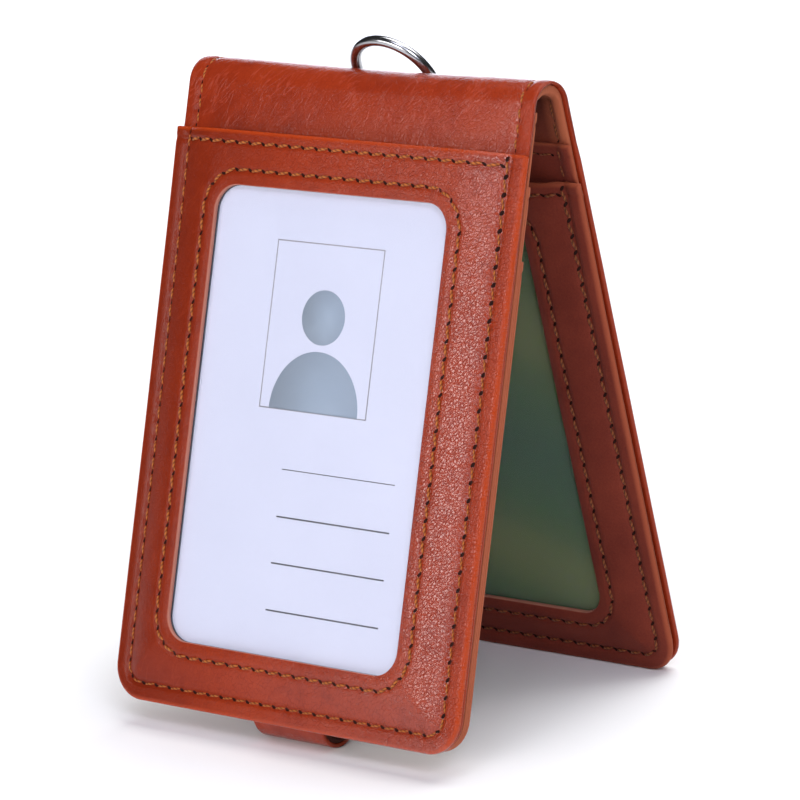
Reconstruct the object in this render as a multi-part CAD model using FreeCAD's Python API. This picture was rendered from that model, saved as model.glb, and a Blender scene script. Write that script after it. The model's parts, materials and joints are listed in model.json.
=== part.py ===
import FreeCAD, Part
import math
import os

# Id badge wallet: two leather panels joined by a rounded fold, standing open like a tent.
# X runs across the wallet, Y from the window side to the back, Z up. Millimetres and degrees.
# The origin is on the floor, in the middle of the wallet's outline.
#
# Each panel is built flat in its own frame and then leaned into place. There, x runs across as
# seen from outside, u runs up the panel from the fold's tangent line, so the bottom edge is at
# u = -PANEL_LENGTH, and w points out of the panel from the face of the cover's sewn rim.

V = FreeCAD.Vector
X_AXIS = V(1, 0, 0)
Y_AXIS = V(0, 1, 0)

# Cards of the common bank card size
CARD_WIDTH = 54.0
CARD_LENGTH = 85.6
CARD_THICKNESS = 0.76
CARD_CORNER = 3.2

# Sheets
LEATHER = 1.0
LINING = 0.6
SLOT_SHEET = 0.5
BOARD = 0.9
FILM = 0.25
THREAD_WIDTH = 0.6
THREAD_HEIGHT = 0.35

# Panels: a sewn rim, a sloping border and a raised middle
FRAME_RIM = 4.0
FRAME_SLOPE = 3.5
COVER_RIM = 4.5
COVER_SLOPE = 3.0
PANEL_CORNER = 6.0
DOME_CORNER = 2.5
LINING_INSET = 0.4
POCKET_SIDE = 3.0
POCKET_END = 0.7
CARD_TOP = 13.2
FRONT_COVER_TOP = 4.5

# Windows, measured in from the card's edges, and the hems of the pockets below the fold
WINDOW_LAP = 1.8
FRONT_WINDOW_LAP_TOP = 4.1
FRONT_WINDOW_LAP_BOTTOM = 3.2
BACK_WINDOW_LAP_TOP = 7.8
BACK_WINDOW_LAP_BOTTOM = 2.2
WINDOW_CORNER = 4.5
FILM_LAP = 2.0
FRONT_HEM = 8.0
BACK_HEM = 14.3
BACK_SLOT_TOP = 7.7
FRONT_SLOT_TOP = 0.8
FRONT_SLOT_PITCH = 12.2
HEM_SEAM = 1.8
WINDOW_SEAM = 2.3
SUNK_THREAD = 0.3
SEAM_TO_SLOPE = 0.7
SEAM_END = 1.2

# Fold: the leather bends along two lines at either side of the crest
FOLD_RADIUS = 5.2
FOLD_LINE = 45.0
FOLD_GAP = 0.1
CLOSING_RELIEF = 14.0
FRONT_LEAN = 18.2

# Closure strap, sewn in at the front panel's bottom edge and turned up behind it
STRAP_WIDTH = 15.4
STRAP_LAYER = 0.8
STRAP_BEND = 4.9
STRAP_DROP = 2.6
STRAP_ROOT = 9.0
STRAP_TONGUE = 22.0
STRAP_CORNER = 5.0
STRAP_SEAM = 1.5
MAGNET_RADIUS = 4.5
MAGNET = 0.8
MAGNET_SET_BACK = 7.5
KEEPER_RADIUS = 6.0
KEEPER = 0.8

# Lanyard ring: a wire D held by a leather loop on a tab at the top of the back panel
WIRE = 1.9
RING_RADIUS = 8.0
RING_CORNER = 1.2
RING_SET_DOWN = 0.3
LOOP_WIDTH = 10.0
LOOP_LEATHER = 0.5
TAB_LENGTH = 11.0
TAB_LEATHER = 0.9
TAB_SEAM = 1.0
TAB_TO_DOME = 2.0

# Clearances
BOARD_CLEARANCE = 0.1
BOARD_SIDE_CLEARANCE = 0.3
CARD_CLEARANCE = 0.1
FILM_CLEARANCE = 0.2
STRAP_CLEARANCE = 0.15
DISC_CLEARANCE = 0.1
WIRE_CLEARANCE = 0.08
LOOP_CLEARANCE = 0.15
TAB_CLEARANCE = 0.3
RING_CLEARANCE = 0.3
CURVE_CLEARANCE = 0.03

# Sizes that follow from the card and its borders
WIDTH = CARD_WIDTH + 2 * (FRAME_RIM + FRAME_SLOPE + POCKET_SIDE)
PANEL_LENGTH = CARD_TOP + CARD_LENGTH + FRAME_RIM + FRAME_SLOPE + POCKET_END
CARD_BOTTOM = CARD_TOP + CARD_LENGTH
WINDOW_HALF = CARD_WIDTH / 2 - WINDOW_LAP
COVER_RISE = BOARD + BOARD_CLEARANCE
CARD_SPACE = CARD_CLEARANCE + CARD_THICKNESS + FILM_CLEARANCE + FILM
FRONT_FRAME_RISE = COVER_RISE + CARD_SPACE
EDGE_SEAM = FRAME_RIM - SEAM_TO_SLOPE - THREAD_WIDTH
STRAP = 2 * STRAP_LAYER
WIRE_RADIUS = WIRE / 2

# Faces of the layers, as heights w from the face of the cover's rim
LINING_FACE = -LEATHER
SLOT_FACE = LINING_FACE - LINING
FRONT_INNER = SLOT_FACE - 3 * SLOT_SHEET
BACK_POCKET = SLOT_FACE - SLOT_SHEET
BACK_RIM_INNER = BACK_POCKET - LEATHER

# Bend of the strap, in the front panel's frame
BEND_U = -(PANEL_LENGTH + STRAP_DROP - STRAP_BEND)
BEND_W = LINING_FACE - STRAP_BEND

# The strap's bend and the back panel's inner bottom edge both stand on the floor
FRONT_ANGLE = math.radians(FRONT_LEAN)
FOLD_Z = (STRAP_BEND - (FOLD_RADIUS + BEND_W) * math.sin(FRONT_ANGLE)
          - BEND_U * math.cos(FRONT_ANGLE))
BACK_FOOT = FOLD_RADIUS + BACK_RIM_INNER
BACK_ANGLE = (math.acos(FOLD_Z / math.hypot(PANEL_LENGTH, BACK_FOOT))
              - math.atan2(BACK_FOOT, PANEL_LENGTH))
BACK_LEAN = math.degrees(BACK_ANGLE)
FRONT_REACH = ((FOLD_RADIUS + LEATHER) * math.cos(FRONT_ANGLE)
               + PANEL_LENGTH * math.sin(FRONT_ANGLE))
BACK_REACH = FOLD_RADIUS * math.cos(BACK_ANGLE) + PANEL_LENGTH * math.sin(BACK_ANGLE)
FOLD_Y = (FRONT_REACH - BACK_REACH) / 2
FOLD_AXIS = V(0, FOLD_Y, FOLD_Z)
HALF_ARC = (180 - FRONT_LEAN - BACK_LEAN) / 2
PANEL_ARC = HALF_ARC - FOLD_LINE
CREST_TURN = (FRONT_LEAN - BACK_LEAN) / 2

# Placements of the two panels and of the fold between them
FRONT_TURN = FreeCAD.Rotation(X_AXIS, 90 - FRONT_LEAN)
BACK_TURN = FreeCAD.Rotation(X_AXIS, 90 + BACK_LEAN) * FreeCAD.Rotation(Y_AXIS, 180)
FOLD_TURN = FreeCAD.Rotation(X_AXIS, -CREST_TURN)
FRONT = FreeCAD.Placement(FOLD_AXIS + FRONT_TURN.multVec(V(0, 0, FOLD_RADIUS)), FRONT_TURN)
BACK = FreeCAD.Placement(FOLD_AXIS + BACK_TURN.multVec(V(0, 0, FOLD_RADIUS)), BACK_TURN)
FOLD = FreeCAD.Placement(FOLD_AXIS, FOLD_TURN)

# Lines that the moving pieces turn about
FRONT_FOLD_LINE = FOLD.multVec(V(0, -FOLD_RADIUS * math.sin(math.radians(FOLD_LINE)),
                                 FOLD_RADIUS * math.cos(math.radians(FOLD_LINE))))
BACK_FOLD_LINE = FOLD.multVec(V(0, FOLD_RADIUS * math.sin(math.radians(FOLD_LINE)),
                                FOLD_RADIUS * math.cos(math.radians(FOLD_LINE))))
STRAP_LINE = FRONT.multVec(V(0, BEND_U - STRAP_BEND, BEND_W))
LOOP_BORE = WIRE_RADIUS + WIRE_CLEARANCE
LOOP_RADIUS = LOOP_BORE + LOOP_LEATHER
RING_LINE = BACK.multVec(V(0, -RING_SET_DOWN, LOOP_CLEARANCE + LOOP_RADIUS))

# The ring leans on the fold, its wire just clear of the leather
RING_ARM = RING_LINE - FOLD_AXIS
RING_PLANE = FOLD_RADIUS + WIRE_RADIUS + RING_CLEARANCE
RING_LEAN = math.degrees(math.atan2(RING_ARM.z, RING_ARM.y) + math.acos(RING_PLANE / RING_ARM.Length))


def rectangle(half, top, bottom, top_radius, bottom_radius):
    """Corners of an upright rectangle, each with the radius that rounds it."""
    return [(-half, top, top_radius), (-half, bottom, bottom_radius),
            (half, bottom, bottom_radius), (half, top, top_radius)]


def panel(top, inset=0.0):
    """Corners of a panel from the height top to the bottom edge, its sides and bottom inset."""
    radius = max(PANEL_CORNER - inset, DOME_CORNER)
    return rectangle(WIDTH / 2 - inset, top, inset - PANEL_LENGTH, 0.0, radius)


def outline(corners, w):
    """Closed wire through the corners at height w, with arcs at the rounded ones."""
    points = [V(x, u, w) for x, u, radius in corners]
    ends = []
    for i, (x, u, radius) in enumerate(corners):
        before = (points[i - 1] - points[i]).normalize()
        after = (points[(i + 1) % len(points)] - points[i]).normalize()
        middle = points[i] + (before + after) * radius * (1 - math.sqrt(0.5))
        ends.append((points[i] + before * radius, middle, points[i] + after * radius))
    edges = []
    for i, (start, middle, end) in enumerate(ends):
        if corners[i][2] > 0:
            edges.append(Part.Arc(start, middle, end).toShape())
        edges.append(Part.makeLine(end, ends[(i + 1) % len(ends)][0]))
    return Part.Wire(edges)


def sheet(corners, low, high):
    """Flat sheet with the given outline between two heights."""
    return Part.Face(outline(corners, low)).extrude(V(0, 0, high - low))


def frustum(base, low, top, high):
    """Solid with straight sloping sides between two outlines."""
    return Part.makeLoft([outline(base, low), outline(top, high)], True, True)


def block(half, top, bottom, low, high):
    """Plain box across the panel."""
    return sheet(rectangle(half, top, bottom, 0.0, 0.0), low, high)


def sector(inner, outer, start, end, half, relief=0.0):
    """Bent sheet about X: angles run from w towards u, and relief sets back its inner end edge."""
    def point(radius, angle):
        return V(-half, radius * math.sin(math.radians(angle)), radius * math.cos(math.radians(angle)))

    inner_end = end - math.degrees((outer - inner) * math.tan(math.radians(relief)) / inner)
    edges = [
        Part.Arc(point(outer, start), point(outer, (start + end) / 2), point(outer, end)).toShape(),
        Part.makeLine(point(outer, end), point(inner, inner_end)),
        Part.Arc(point(inner, inner_end), point(inner, (start + inner_end) / 2),
                 point(inner, start)).toShape(),
        Part.makeLine(point(inner, start), point(outer, start)),
    ]
    return Part.Face(Part.Wire(edges)).extrude(V(2 * half, 0, 0))


def domed_sheet(top, rim, slope, rise, dome_top, face):
    """Leather panel whose outer face starts at the height face on its sewn rim and rises to a
    raised middle. The middle starts at the height dome_top, or runs out through the top edge."""
    low = face - LEATHER
    shift = LEATHER * math.tan(math.atan2(rise, slope) / 2)

    def middle(inset):
        start = dome_top - inset if dome_top <= top else dome_top
        return rectangle(WIDTH / 2 - inset, start, inset - PANEL_LENGTH, DOME_CORNER, DOME_CORNER)

    shell = sheet(panel(top), low, face)
    shell = shell.fuse(frustum(middle(rim), face, middle(rim + slope), face + rise))
    shell = shell.cut(frustum(middle(rim + shift), low, middle(rim + slope + shift), low + rise))
    if dome_top > top:
        shell = shell.cut(block(WIDTH, dome_top + DOME_CORNER, top, low, face + rise + LEATHER))
    return shell.removeSplitter()


def fold_sheet(inner, outer):
    """Stretch of bent sheet from a panel's tangent line to its fold line, in the panel's frame."""
    end = PANEL_ARC - math.degrees(FOLD_GAP / outer)
    bend = sector(inner, outer, 0, end, WIDTH / 2, CLOSING_RELIEF)
    bend.translate(V(0, 0, -FOLD_RADIUS))
    return bend


def cover(dome_top):
    """Outer leather of one panel with its share of the fold."""
    flat = domed_sheet(0.0, COVER_RIM, COVER_SLOPE, COVER_RISE, COVER_RIM - dome_top, 0.0)
    return flat.fuse(fold_sheet(FOLD_RADIUS - LEATHER, FOLD_RADIUS)).removeSplitter()


def board(dome_top):
    """Stiffener in the hollow of a cover."""
    shift = LEATHER * math.tan(math.atan2(COVER_RISE, COVER_SLOPE) / 2)
    inset = COVER_RIM + COVER_SLOPE + shift + BOARD_SIDE_CLEARANCE
    top = COVER_RIM - dome_top - inset
    corners = rectangle(WIDTH / 2 - inset, top, inset - PANEL_LENGTH, DOME_CORNER, DOME_CORNER)
    return sheet(corners, LINING_FACE, LINING_FACE + BOARD)


def lining():
    """Inner leather of one panel with its share of the fold."""
    outer = FOLD_RADIUS - LEATHER - CURVE_CLEARANCE
    flat = sheet(panel(0.0, LINING_INSET), SLOT_FACE, LINING_FACE)
    bend = sector(FOLD_RADIUS - LEATHER - LINING, outer, 0,
                  PANEL_ARC - math.degrees(FOLD_GAP / outer) - CLOSING_RELIEF / 2,
                  WIDTH / 2 - LINING_INSET, CLOSING_RELIEF)
    bend.translate(V(0, 0, -FOLD_RADIUS))
    return flat.fuse(bend).removeSplitter()


def slot_sheet(top, high):
    """Card slot: a thin sheet sewn on at its sides and bottom, open at its top edge."""
    return sheet(panel(-top, LINING_INSET), high - SLOT_SHEET, high)


def window(top, bottom, extra, low, high, radius):
    """Block with the outline of a window, larger all round by extra."""
    corners = rectangle(WINDOW_HALF + extra, extra - top, -extra - bottom, radius, radius)
    return sheet(corners, low, high)


def thread_ring(corners, inner_corners, low):
    """Sewing thread laid along an outline."""
    high = low + THREAD_HEIGHT
    return sheet(corners, low, high).cut(sheet(inner_corners, low, high))


def edge_thread(top, low):
    """Thread round the sides and bottom of a panel, from the height top."""
    inner = panel(top + THREAD_WIDTH, EDGE_SEAM + THREAD_WIDTH)
    return thread_ring(panel(top, EDGE_SEAM), inner, low)


def window_thread(top, bottom, low):
    """Thread round a window."""
    rows = []
    for gap in (WINDOW_SEAM + THREAD_WIDTH, WINDOW_SEAM):
        radius = WINDOW_CORNER + gap
        rows.append(rectangle(WINDOW_HALF + gap, gap - top, -gap - bottom, radius, radius))
    return thread_ring(rows[0], rows[1], low)


def hem_thread(half, top, low):
    """Straight thread along a hem, below the edge at the height top."""
    return block(half, top - HEM_SEAM, top - HEM_SEAM - THREAD_WIDTH, low, low + THREAD_HEIGHT)


def card(low):
    """Plain card with rounded corners."""
    corners = rectangle(CARD_WIDTH / 2, -CARD_TOP, -CARD_BOTTOM, CARD_CORNER, CARD_CORNER)
    return sheet(corners, low, low + CARD_THICKNESS)


def disc(radius, u, low, high):
    """Round disc lying in a panel."""
    return Part.makeCylinder(radius, high - low, V(0, u, low))


def inside_out(shape):
    """Turns a shape built on a panel's outer side to face the other way."""
    turned = shape.copy()
    turned.rotate(V(0, 0, 0), Y_AXIS, 180)
    return turned


def save(node, placement, *shapes):
    """Writes one named piece, or a group of like pieces, at its place on the wallet."""
    solids = [solid for shape in shapes for solid in shape.Solids]
    shape = solids[0] if len(solids) == 1 else Part.makeCompound(solids)
    placed = shape.copy()
    placed.Placement = placement.multiply(placed.Placement)
    placed.exportStep("parts/" + node + ".step")


def front_panel():
    """Window side: frame, film, cover, board, lining, three card slots and their seams."""
    window_top = CARD_TOP + FRONT_WINDOW_LAP_TOP
    window_bottom = CARD_BOTTOM - FRONT_WINDOW_LAP_BOTTOM
    frame_face = LEATHER + FRONT_FRAME_RISE
    past_hem = FRAME_RIM + FRAME_SLOPE - FRONT_HEM
    frame = domed_sheet(-FRONT_HEM, FRAME_RIM, FRAME_SLOPE, FRONT_FRAME_RISE, past_hem, LEATHER)
    frame = frame.cut(window(window_top, window_bottom, 0.0, 0.0, frame_face, WINDOW_CORNER))
    film = window(window_top, window_bottom, FILM_LAP, FRONT_FRAME_RISE - FILM, FRONT_FRAME_RISE,
                  WINDOW_CORNER)
    save("front_window_frame", FRONT, frame)
    save("front_window_film", FRONT, film)
    save("front_cover", FRONT, cover(FRONT_COVER_TOP))
    save("front_board", FRONT, board(FRONT_COVER_TOP))

    half = STRAP_WIDTH / 2 + STRAP_CLEARANCE
    top = STRAP_ROOT + STRAP_CLEARANCE - PANEL_LENGTH
    notch = block(half, top, BEND_U, LINING_FACE - STRAP, LINING_FACE)
    notch = notch.fuse(block(half, BEND_U, -PANEL_LENGTH, FRONT_INNER, LINING_FACE))
    save("front_lining", FRONT, lining().cut(notch))
    slot_tops = [FRONT_SLOT_TOP + i * FRONT_SLOT_PITCH for i in range(3)]
    slot_faces = [SLOT_FACE - i * SLOT_SHEET for i in range(3)]
    names = ["front_slot_upper", "front_slot_middle", "front_slot_lower"]
    for name, slot_top, face in zip(names, slot_tops, slot_faces):
        save(name, FRONT, slot_sheet(slot_top, face).cut(notch))

    seam_half = WIDTH / 2 - EDGE_SEAM
    hem_half = WIDTH / 2 - FRAME_RIM - FRAME_SLOPE
    sides = []
    for side in (-1, 1):
        thread = block(THREAD_WIDTH / 2, -SEAM_END, SEAM_END - FRONT_HEM, 0.0, THREAD_HEIGHT)
        thread.translate(V(side * (seam_half - THREAD_WIDTH / 2), 0, 0))
        sides.append(thread)
    inner_face = FRONT_INNER - THREAD_HEIGHT
    save("front_edge_seam", FRONT, edge_thread(-FRONT_HEM - SEAM_END, LEATHER),
         edge_thread(-slot_tops[2] - SEAM_END, inner_face), *sides)
    save("front_window_seam", FRONT, window_thread(window_top, window_bottom, frame_face))
    save("front_hem_seam", FRONT, hem_thread(hem_half, -FRONT_HEM, frame_face))
    slot_half = seam_half - THREAD_WIDTH - SEAM_END
    save("front_slot_seams", FRONT, *[hem_thread(slot_half, -slot_top, face - SLOT_SHEET - THREAD_HEIGHT)
                                      for slot_top, face in zip(slot_tops, slot_faces)])
    save("id_card", FRONT, card(COVER_RISE + CARD_CLEARANCE))


def fold():
    """Crest of the fold between the two fold lines: outer leather, lining and edge threads."""
    half_gap = math.degrees(FOLD_GAP / FOLD_RADIUS) / 2
    end = FOLD_LINE - half_gap
    lining_outer = FOLD_RADIUS - LEATHER - CURVE_CLEARANCE
    save("spine_cover", FOLD, sector(FOLD_RADIUS - LEATHER, FOLD_RADIUS, -end, end, WIDTH / 2))
    save("spine_lining", FOLD, sector(FOLD_RADIUS - LEATHER - LINING, lining_outer, -end, end,
                                      WIDTH / 2 - LINING_INSET))
    seam_inner = FOLD_RADIUS + CURVE_CLEARANCE
    seam_end = end - math.degrees(SEAM_END / FOLD_RADIUS)
    threads = []
    for side in (-1, 1):
        thread = sector(seam_inner, seam_inner + THREAD_HEIGHT, -seam_end, seam_end, THREAD_WIDTH / 2)
        thread.translate(V(side * (WIDTH / 2 - EDGE_SEAM - THREAD_WIDTH / 2), 0, 0))
        threads.append(thread)
    save("spine_seam", FOLD, *threads)


def back_panel():
    """Back: cover, board with its steel keeper, lining, card slot and the inner card window."""
    window_top = CARD_TOP + BACK_WINDOW_LAP_TOP
    window_bottom = CARD_BOTTOM - BACK_WINDOW_LAP_BOTTOM
    frame_low = -BACK_POCKET
    frame_face = frame_low + LEATHER + CARD_SPACE
    past_hem = FRAME_RIM + FRAME_SLOPE - BACK_HEM
    frame = domed_sheet(-BACK_HEM, FRAME_RIM, FRAME_SLOPE, CARD_SPACE, past_hem, frame_low + LEATHER)
    frame = frame.cut(window(window_top, window_bottom, 0.0, frame_low, frame_face, WINDOW_CORNER))
    film_high = frame_low + CARD_SPACE
    film = window(window_top, window_bottom, FILM_LAP, film_high - FILM, film_high, WINDOW_CORNER)
    save("back_window_frame", BACK, inside_out(frame))
    save("back_window_film", BACK, inside_out(film))

    dome_top = RING_SET_DOWN + LOOP_RADIUS + TAB_CLEARANCE + TAB_LENGTH + TAB_TO_DOME
    keeper_u = BEND_U + STRAP_TONGUE - MAGNET_SET_BACK
    well = disc(KEEPER_RADIUS + DISC_CLEARANCE, keeper_u, LINING_FACE, LINING_FACE + BOARD)
    save("back_cover", BACK, cover(dome_top))
    save("back_board", BACK, board(dome_top).cut(well))
    save("keeper_plate", BACK, disc(KEEPER_RADIUS, keeper_u, LINING_FACE, LINING_FACE + KEEPER))
    save("back_lining", BACK, lining())

    seam_half = WIDTH / 2 - EDGE_SEAM
    slot_half = seam_half - THREAD_WIDTH - SEAM_END
    slot_thread = hem_thread(slot_half, -BACK_SLOT_TOP, BACK_POCKET - THREAD_HEIGHT + SUNK_THREAD)
    save("back_slot_sheet", BACK, slot_sheet(BACK_SLOT_TOP, SLOT_FACE).cut(slot_thread))
    inner_low = BACK_RIM_INNER - THREAD_HEIGHT
    save("back_edge_seam", BACK, edge_thread(-SEAM_END, 0.0),
         edge_thread(-BACK_HEM - SEAM_END, inner_low))
    save("back_window_seam", BACK, inside_out(window_thread(window_top, window_bottom, frame_face)))
    frame_half = WIDTH / 2 - FRAME_RIM - FRAME_SLOPE
    save("back_slot_seams", BACK, slot_thread, inside_out(hem_thread(frame_half, -BACK_HEM, frame_face)))
    save("back_card", BACK, inside_out(card(frame_low + CARD_CLEARANCE)))


def closure_strap():
    """Strap of two leather layers: a sewn root, a bend, and a tongue with a magnet in its end."""
    half = STRAP_WIDTH / 2
    at_bend = V(0, BEND_U, BEND_W)
    bend_inner = STRAP_BEND - STRAP
    gap = math.degrees(FOLD_GAP / STRAP_BEND)
    root = sector(bend_inner, STRAP_BEND, gap - 90, 0, half)
    root.translate(at_bend)
    leg = block(half, STRAP_ROOT - PANEL_LENGTH, BEND_U, LINING_FACE - STRAP, LINING_FACE)
    save("strap_root", FRONT, root.fuse(leg).removeSplitter())

    end = BEND_U + STRAP_TONGUE
    back = BEND_W - STRAP_BEND
    magnet_u = end - MAGNET_SET_BACK
    magnet_low = back + STRAP_LAYER - MAGNET / 2
    well = disc(MAGNET_RADIUS + DISC_CLEARANCE, magnet_u, magnet_low, magnet_low + MAGNET)
    tongue = rectangle(half, end, BEND_U, STRAP_CORNER, 0.0)
    for name, inner, low in (("strap_outer", STRAP_BEND - STRAP_LAYER, back),
                             ("strap_lining", bend_inner, back + STRAP_LAYER)):
        bend = sector(inner, inner + STRAP_LAYER, -180, -90, half)
        bend.translate(at_bend)
        flat = sheet(tongue, low, low + STRAP_LAYER)
        save(name, FRONT, bend.fuse(flat).removeSplitter().cut(well))
    save("strap_magnet", FRONT, disc(MAGNET_RADIUS, magnet_u, magnet_low, magnet_low + MAGNET))

    rows = [rectangle(half - inset, end - inset, BEND_U + inset - STRAP_SEAM,
                      STRAP_CORNER - inset, 0.0)
            for inset in (STRAP_SEAM, STRAP_SEAM + THREAD_WIDTH)]
    save("strap_seam", FRONT, thread_ring(rows[0], rows[1], back - THREAD_HEIGHT))


def lanyard_ring():
    """Wire D, the leather loop round its straight side and the tab that is sewn to the back."""
    ring_turn = FreeCAD.Rotation(X_AXIS, 90 + RING_LEAN)
    at_ring = FreeCAD.Placement(RING_LINE, ring_turn)
    bar_half = RING_RADIUS - RING_CORNER
    axis = V(0, 0, 1)
    wire = Part.makeCylinder(WIRE_RADIUS, 2 * bar_half, V(-bar_half, 0, 0), X_AXIS)
    bow = Part.makeTorus(RING_RADIUS, WIRE_RADIUS, V(0, RING_CORNER, 0), axis, -180, 180, 180)
    wire = wire.fuse(bow)
    for side, turn in ((-1, 180), (1, 270)):
        corner = Part.makeTorus(RING_CORNER, WIRE_RADIUS, V(0, 0, 0), axis, -180, 180, 90)
        corner.rotate(V(0, 0, 0), axis, turn)
        corner.translate(V(side * bar_half, RING_CORNER, 0))
        wire = wire.fuse(corner)
    save("ring", at_ring, wire.removeSplitter())

    half = LOOP_WIDTH / 2
    sleeve = Part.makeCylinder(LOOP_RADIUS, LOOP_WIDTH, V(-half, 0, 0), X_AXIS)
    bore = Part.makeCylinder(LOOP_BORE, LOOP_WIDTH, V(-half, 0, 0), X_AXIS)
    save("ring_loop", at_ring, sleeve.cut(bore))

    top = -RING_SET_DOWN - LOOP_RADIUS - TAB_CLEARANCE
    bottom = top - TAB_LENGTH
    save("ring_tab", BACK, block(half, top, bottom, 0.0, TAB_LEATHER))
    rows = [rectangle(half - inset, top - inset, bottom + inset, 0.0, 0.0)
            for inset in (TAB_SEAM, TAB_SEAM + THREAD_WIDTH)]
    save("ring_tab_seam", BACK, thread_ring(rows[0], rows[1], TAB_LEATHER))


os.makedirs("parts", exist_ok=True)
front_panel()
fold()
back_panel()
closure_strap()
lanyard_ring()
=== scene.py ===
import json
import math

import bpy
import numpy as np
from mathutils import Matrix


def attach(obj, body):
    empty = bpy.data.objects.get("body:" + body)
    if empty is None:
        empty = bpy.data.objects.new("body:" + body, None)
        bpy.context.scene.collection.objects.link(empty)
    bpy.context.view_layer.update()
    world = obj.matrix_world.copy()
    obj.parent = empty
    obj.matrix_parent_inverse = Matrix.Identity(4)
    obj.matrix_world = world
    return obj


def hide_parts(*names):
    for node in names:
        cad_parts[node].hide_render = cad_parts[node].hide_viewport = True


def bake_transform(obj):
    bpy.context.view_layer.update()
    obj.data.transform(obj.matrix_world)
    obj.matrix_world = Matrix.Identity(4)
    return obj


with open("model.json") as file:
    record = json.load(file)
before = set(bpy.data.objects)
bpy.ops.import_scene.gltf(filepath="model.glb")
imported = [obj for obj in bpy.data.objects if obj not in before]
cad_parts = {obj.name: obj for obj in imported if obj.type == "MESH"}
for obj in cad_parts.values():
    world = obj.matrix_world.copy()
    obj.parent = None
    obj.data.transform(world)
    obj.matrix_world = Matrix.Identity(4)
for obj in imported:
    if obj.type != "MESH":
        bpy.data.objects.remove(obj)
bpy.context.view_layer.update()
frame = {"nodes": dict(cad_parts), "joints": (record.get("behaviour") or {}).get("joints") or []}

# Lengths are in millimetres until a mesh is made.
MM = 0.001
MAP_UNIT = 100.0
HALF_WIDTH = 37.5
PANEL_LENGTH = 107.0
PANEL_CORNER = 6.0
SEAM_INSET = 3.0
SEAM_X = HALF_WIDTH - SEAM_INSET
STITCH_PITCH = 2.95
HEM_SEAM = 2.1
WINDOW_CORNER = 4.5
WINDOW_SEAM = 2.6

# Heights are outward from the rim face of a panel's cover, and depths are down from its fold.
# A window or card has a half width, a top and a bottom, and a layer has a low and a high face.
COVER_LOW = -1.0
COVER_RISE = 1.0
LINING_LOW = -1.6
CARD_SHAPE = (27.0, 13.2, 98.8)
CARD_CORNER = 3.2

# Front panel
FRONT_DOME_TOP = 8.6
FRONT_SLOTS = (("front_slot_upper", 0.8), ("front_slot_middle", 13.0), ("front_slot_lower", 25.2))
SLOT_SHEET = 0.5
FRAME_RIM_FACE = 1.0
FRAME_RISE = 2.31
FRONT_HEM = 8.0
FRONT_WINDOW = (25.2, 17.3, 95.6)
FRONT_FILM = (2.06, 2.30)
ID_CARD = (1.1, 1.86)

# Back panel, whose layers face inward
BACK_DOME_TOP = 15.13
BACK_SLOT_TOP = 7.7
BACK_SLOT_LOW = -2.1
BACK_RIM_FACE = -3.1
BACK_FRAME_RISE = 1.31
BACK_HEM = 14.3
BACK_WINDOW = (25.2, 21.0, 96.6)
BACK_FILM = (-3.40, -3.16)
BACK_CARD = (-2.96, -2.20)


def unit(vector):
    vector = np.asarray(vector, float)
    return vector / np.linalg.norm(vector)


def unit_rows(vectors):
    return vectors / np.linalg.norm(vectors, axis=-1, keepdims=True)


# The fold lines lie an eighth of a turn either side of the crest, and give the fold's radius and axis.
joints = {joint["name"]: joint for joint in frame["joints"]}
front_line = np.array(joints["fold_front"]["pos_m"]) / MM
back_line = np.array(joints["fold_back"]["pos_m"]) / MM
chord = back_line - front_line
CREST = unit((0, -chord[2], chord[1]))
RADIUS = np.linalg.norm(chord) / math.sqrt(2)
AXIS = (front_line + back_line) / 2 - CREST * RADIUS / math.sqrt(2)
X = np.array((1.0, 0.0, 0.0))


class Panel:
    """Frame of one panel: x across, p up the sheet and on round the fold, w outward from its rim face."""

    def __init__(self, up, turn):
        self.up = unit(up)
        self.out = np.array((0, -turn * self.up[2], turn * self.up[1]))
        self.half_arc = RADIUS * math.acos(float(self.out @ CREST))

    def place(self, x, p, w):
        x, p, w = np.broadcast_arrays(*(np.asarray(value, float) for value in (x, p, w)))
        angle = np.maximum(p, 0) / RADIUS
        radial = np.cos(angle)[..., None] * self.out + np.sin(angle)[..., None] * self.up
        return (AXIS + (RADIUS + w)[..., None] * radial + np.minimum(p, 0)[..., None] * self.up
                + x[..., None] * X)

    def point_m(self, p, w):
        return tuple(self.place(0, p, w) * MM)


FRONT = Panel(-np.array(joints["id_card_slide"]["axis"]), 1)
BACK = Panel(np.array(joints["back_card_slide"]["axis"]), -1)

# A piece that spans the fold is given two bodies and two points between them, but is only baked in place.
crest_m = tuple((AXIS + RADIUS * CREST) * MM)
FRONT_FOLD = ("front_panel", "fold_spine", FRONT.point_m(0, 0), crest_m)
BACK_FOLD = ("fold_spine", "back_panel", crest_m, BACK.point_m(0, 0))


# Meshes

def add_item(name, data):
    item = bpy.data.objects.new(name, data)
    bpy.context.scene.collection.objects.link(item)
    return item


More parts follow.
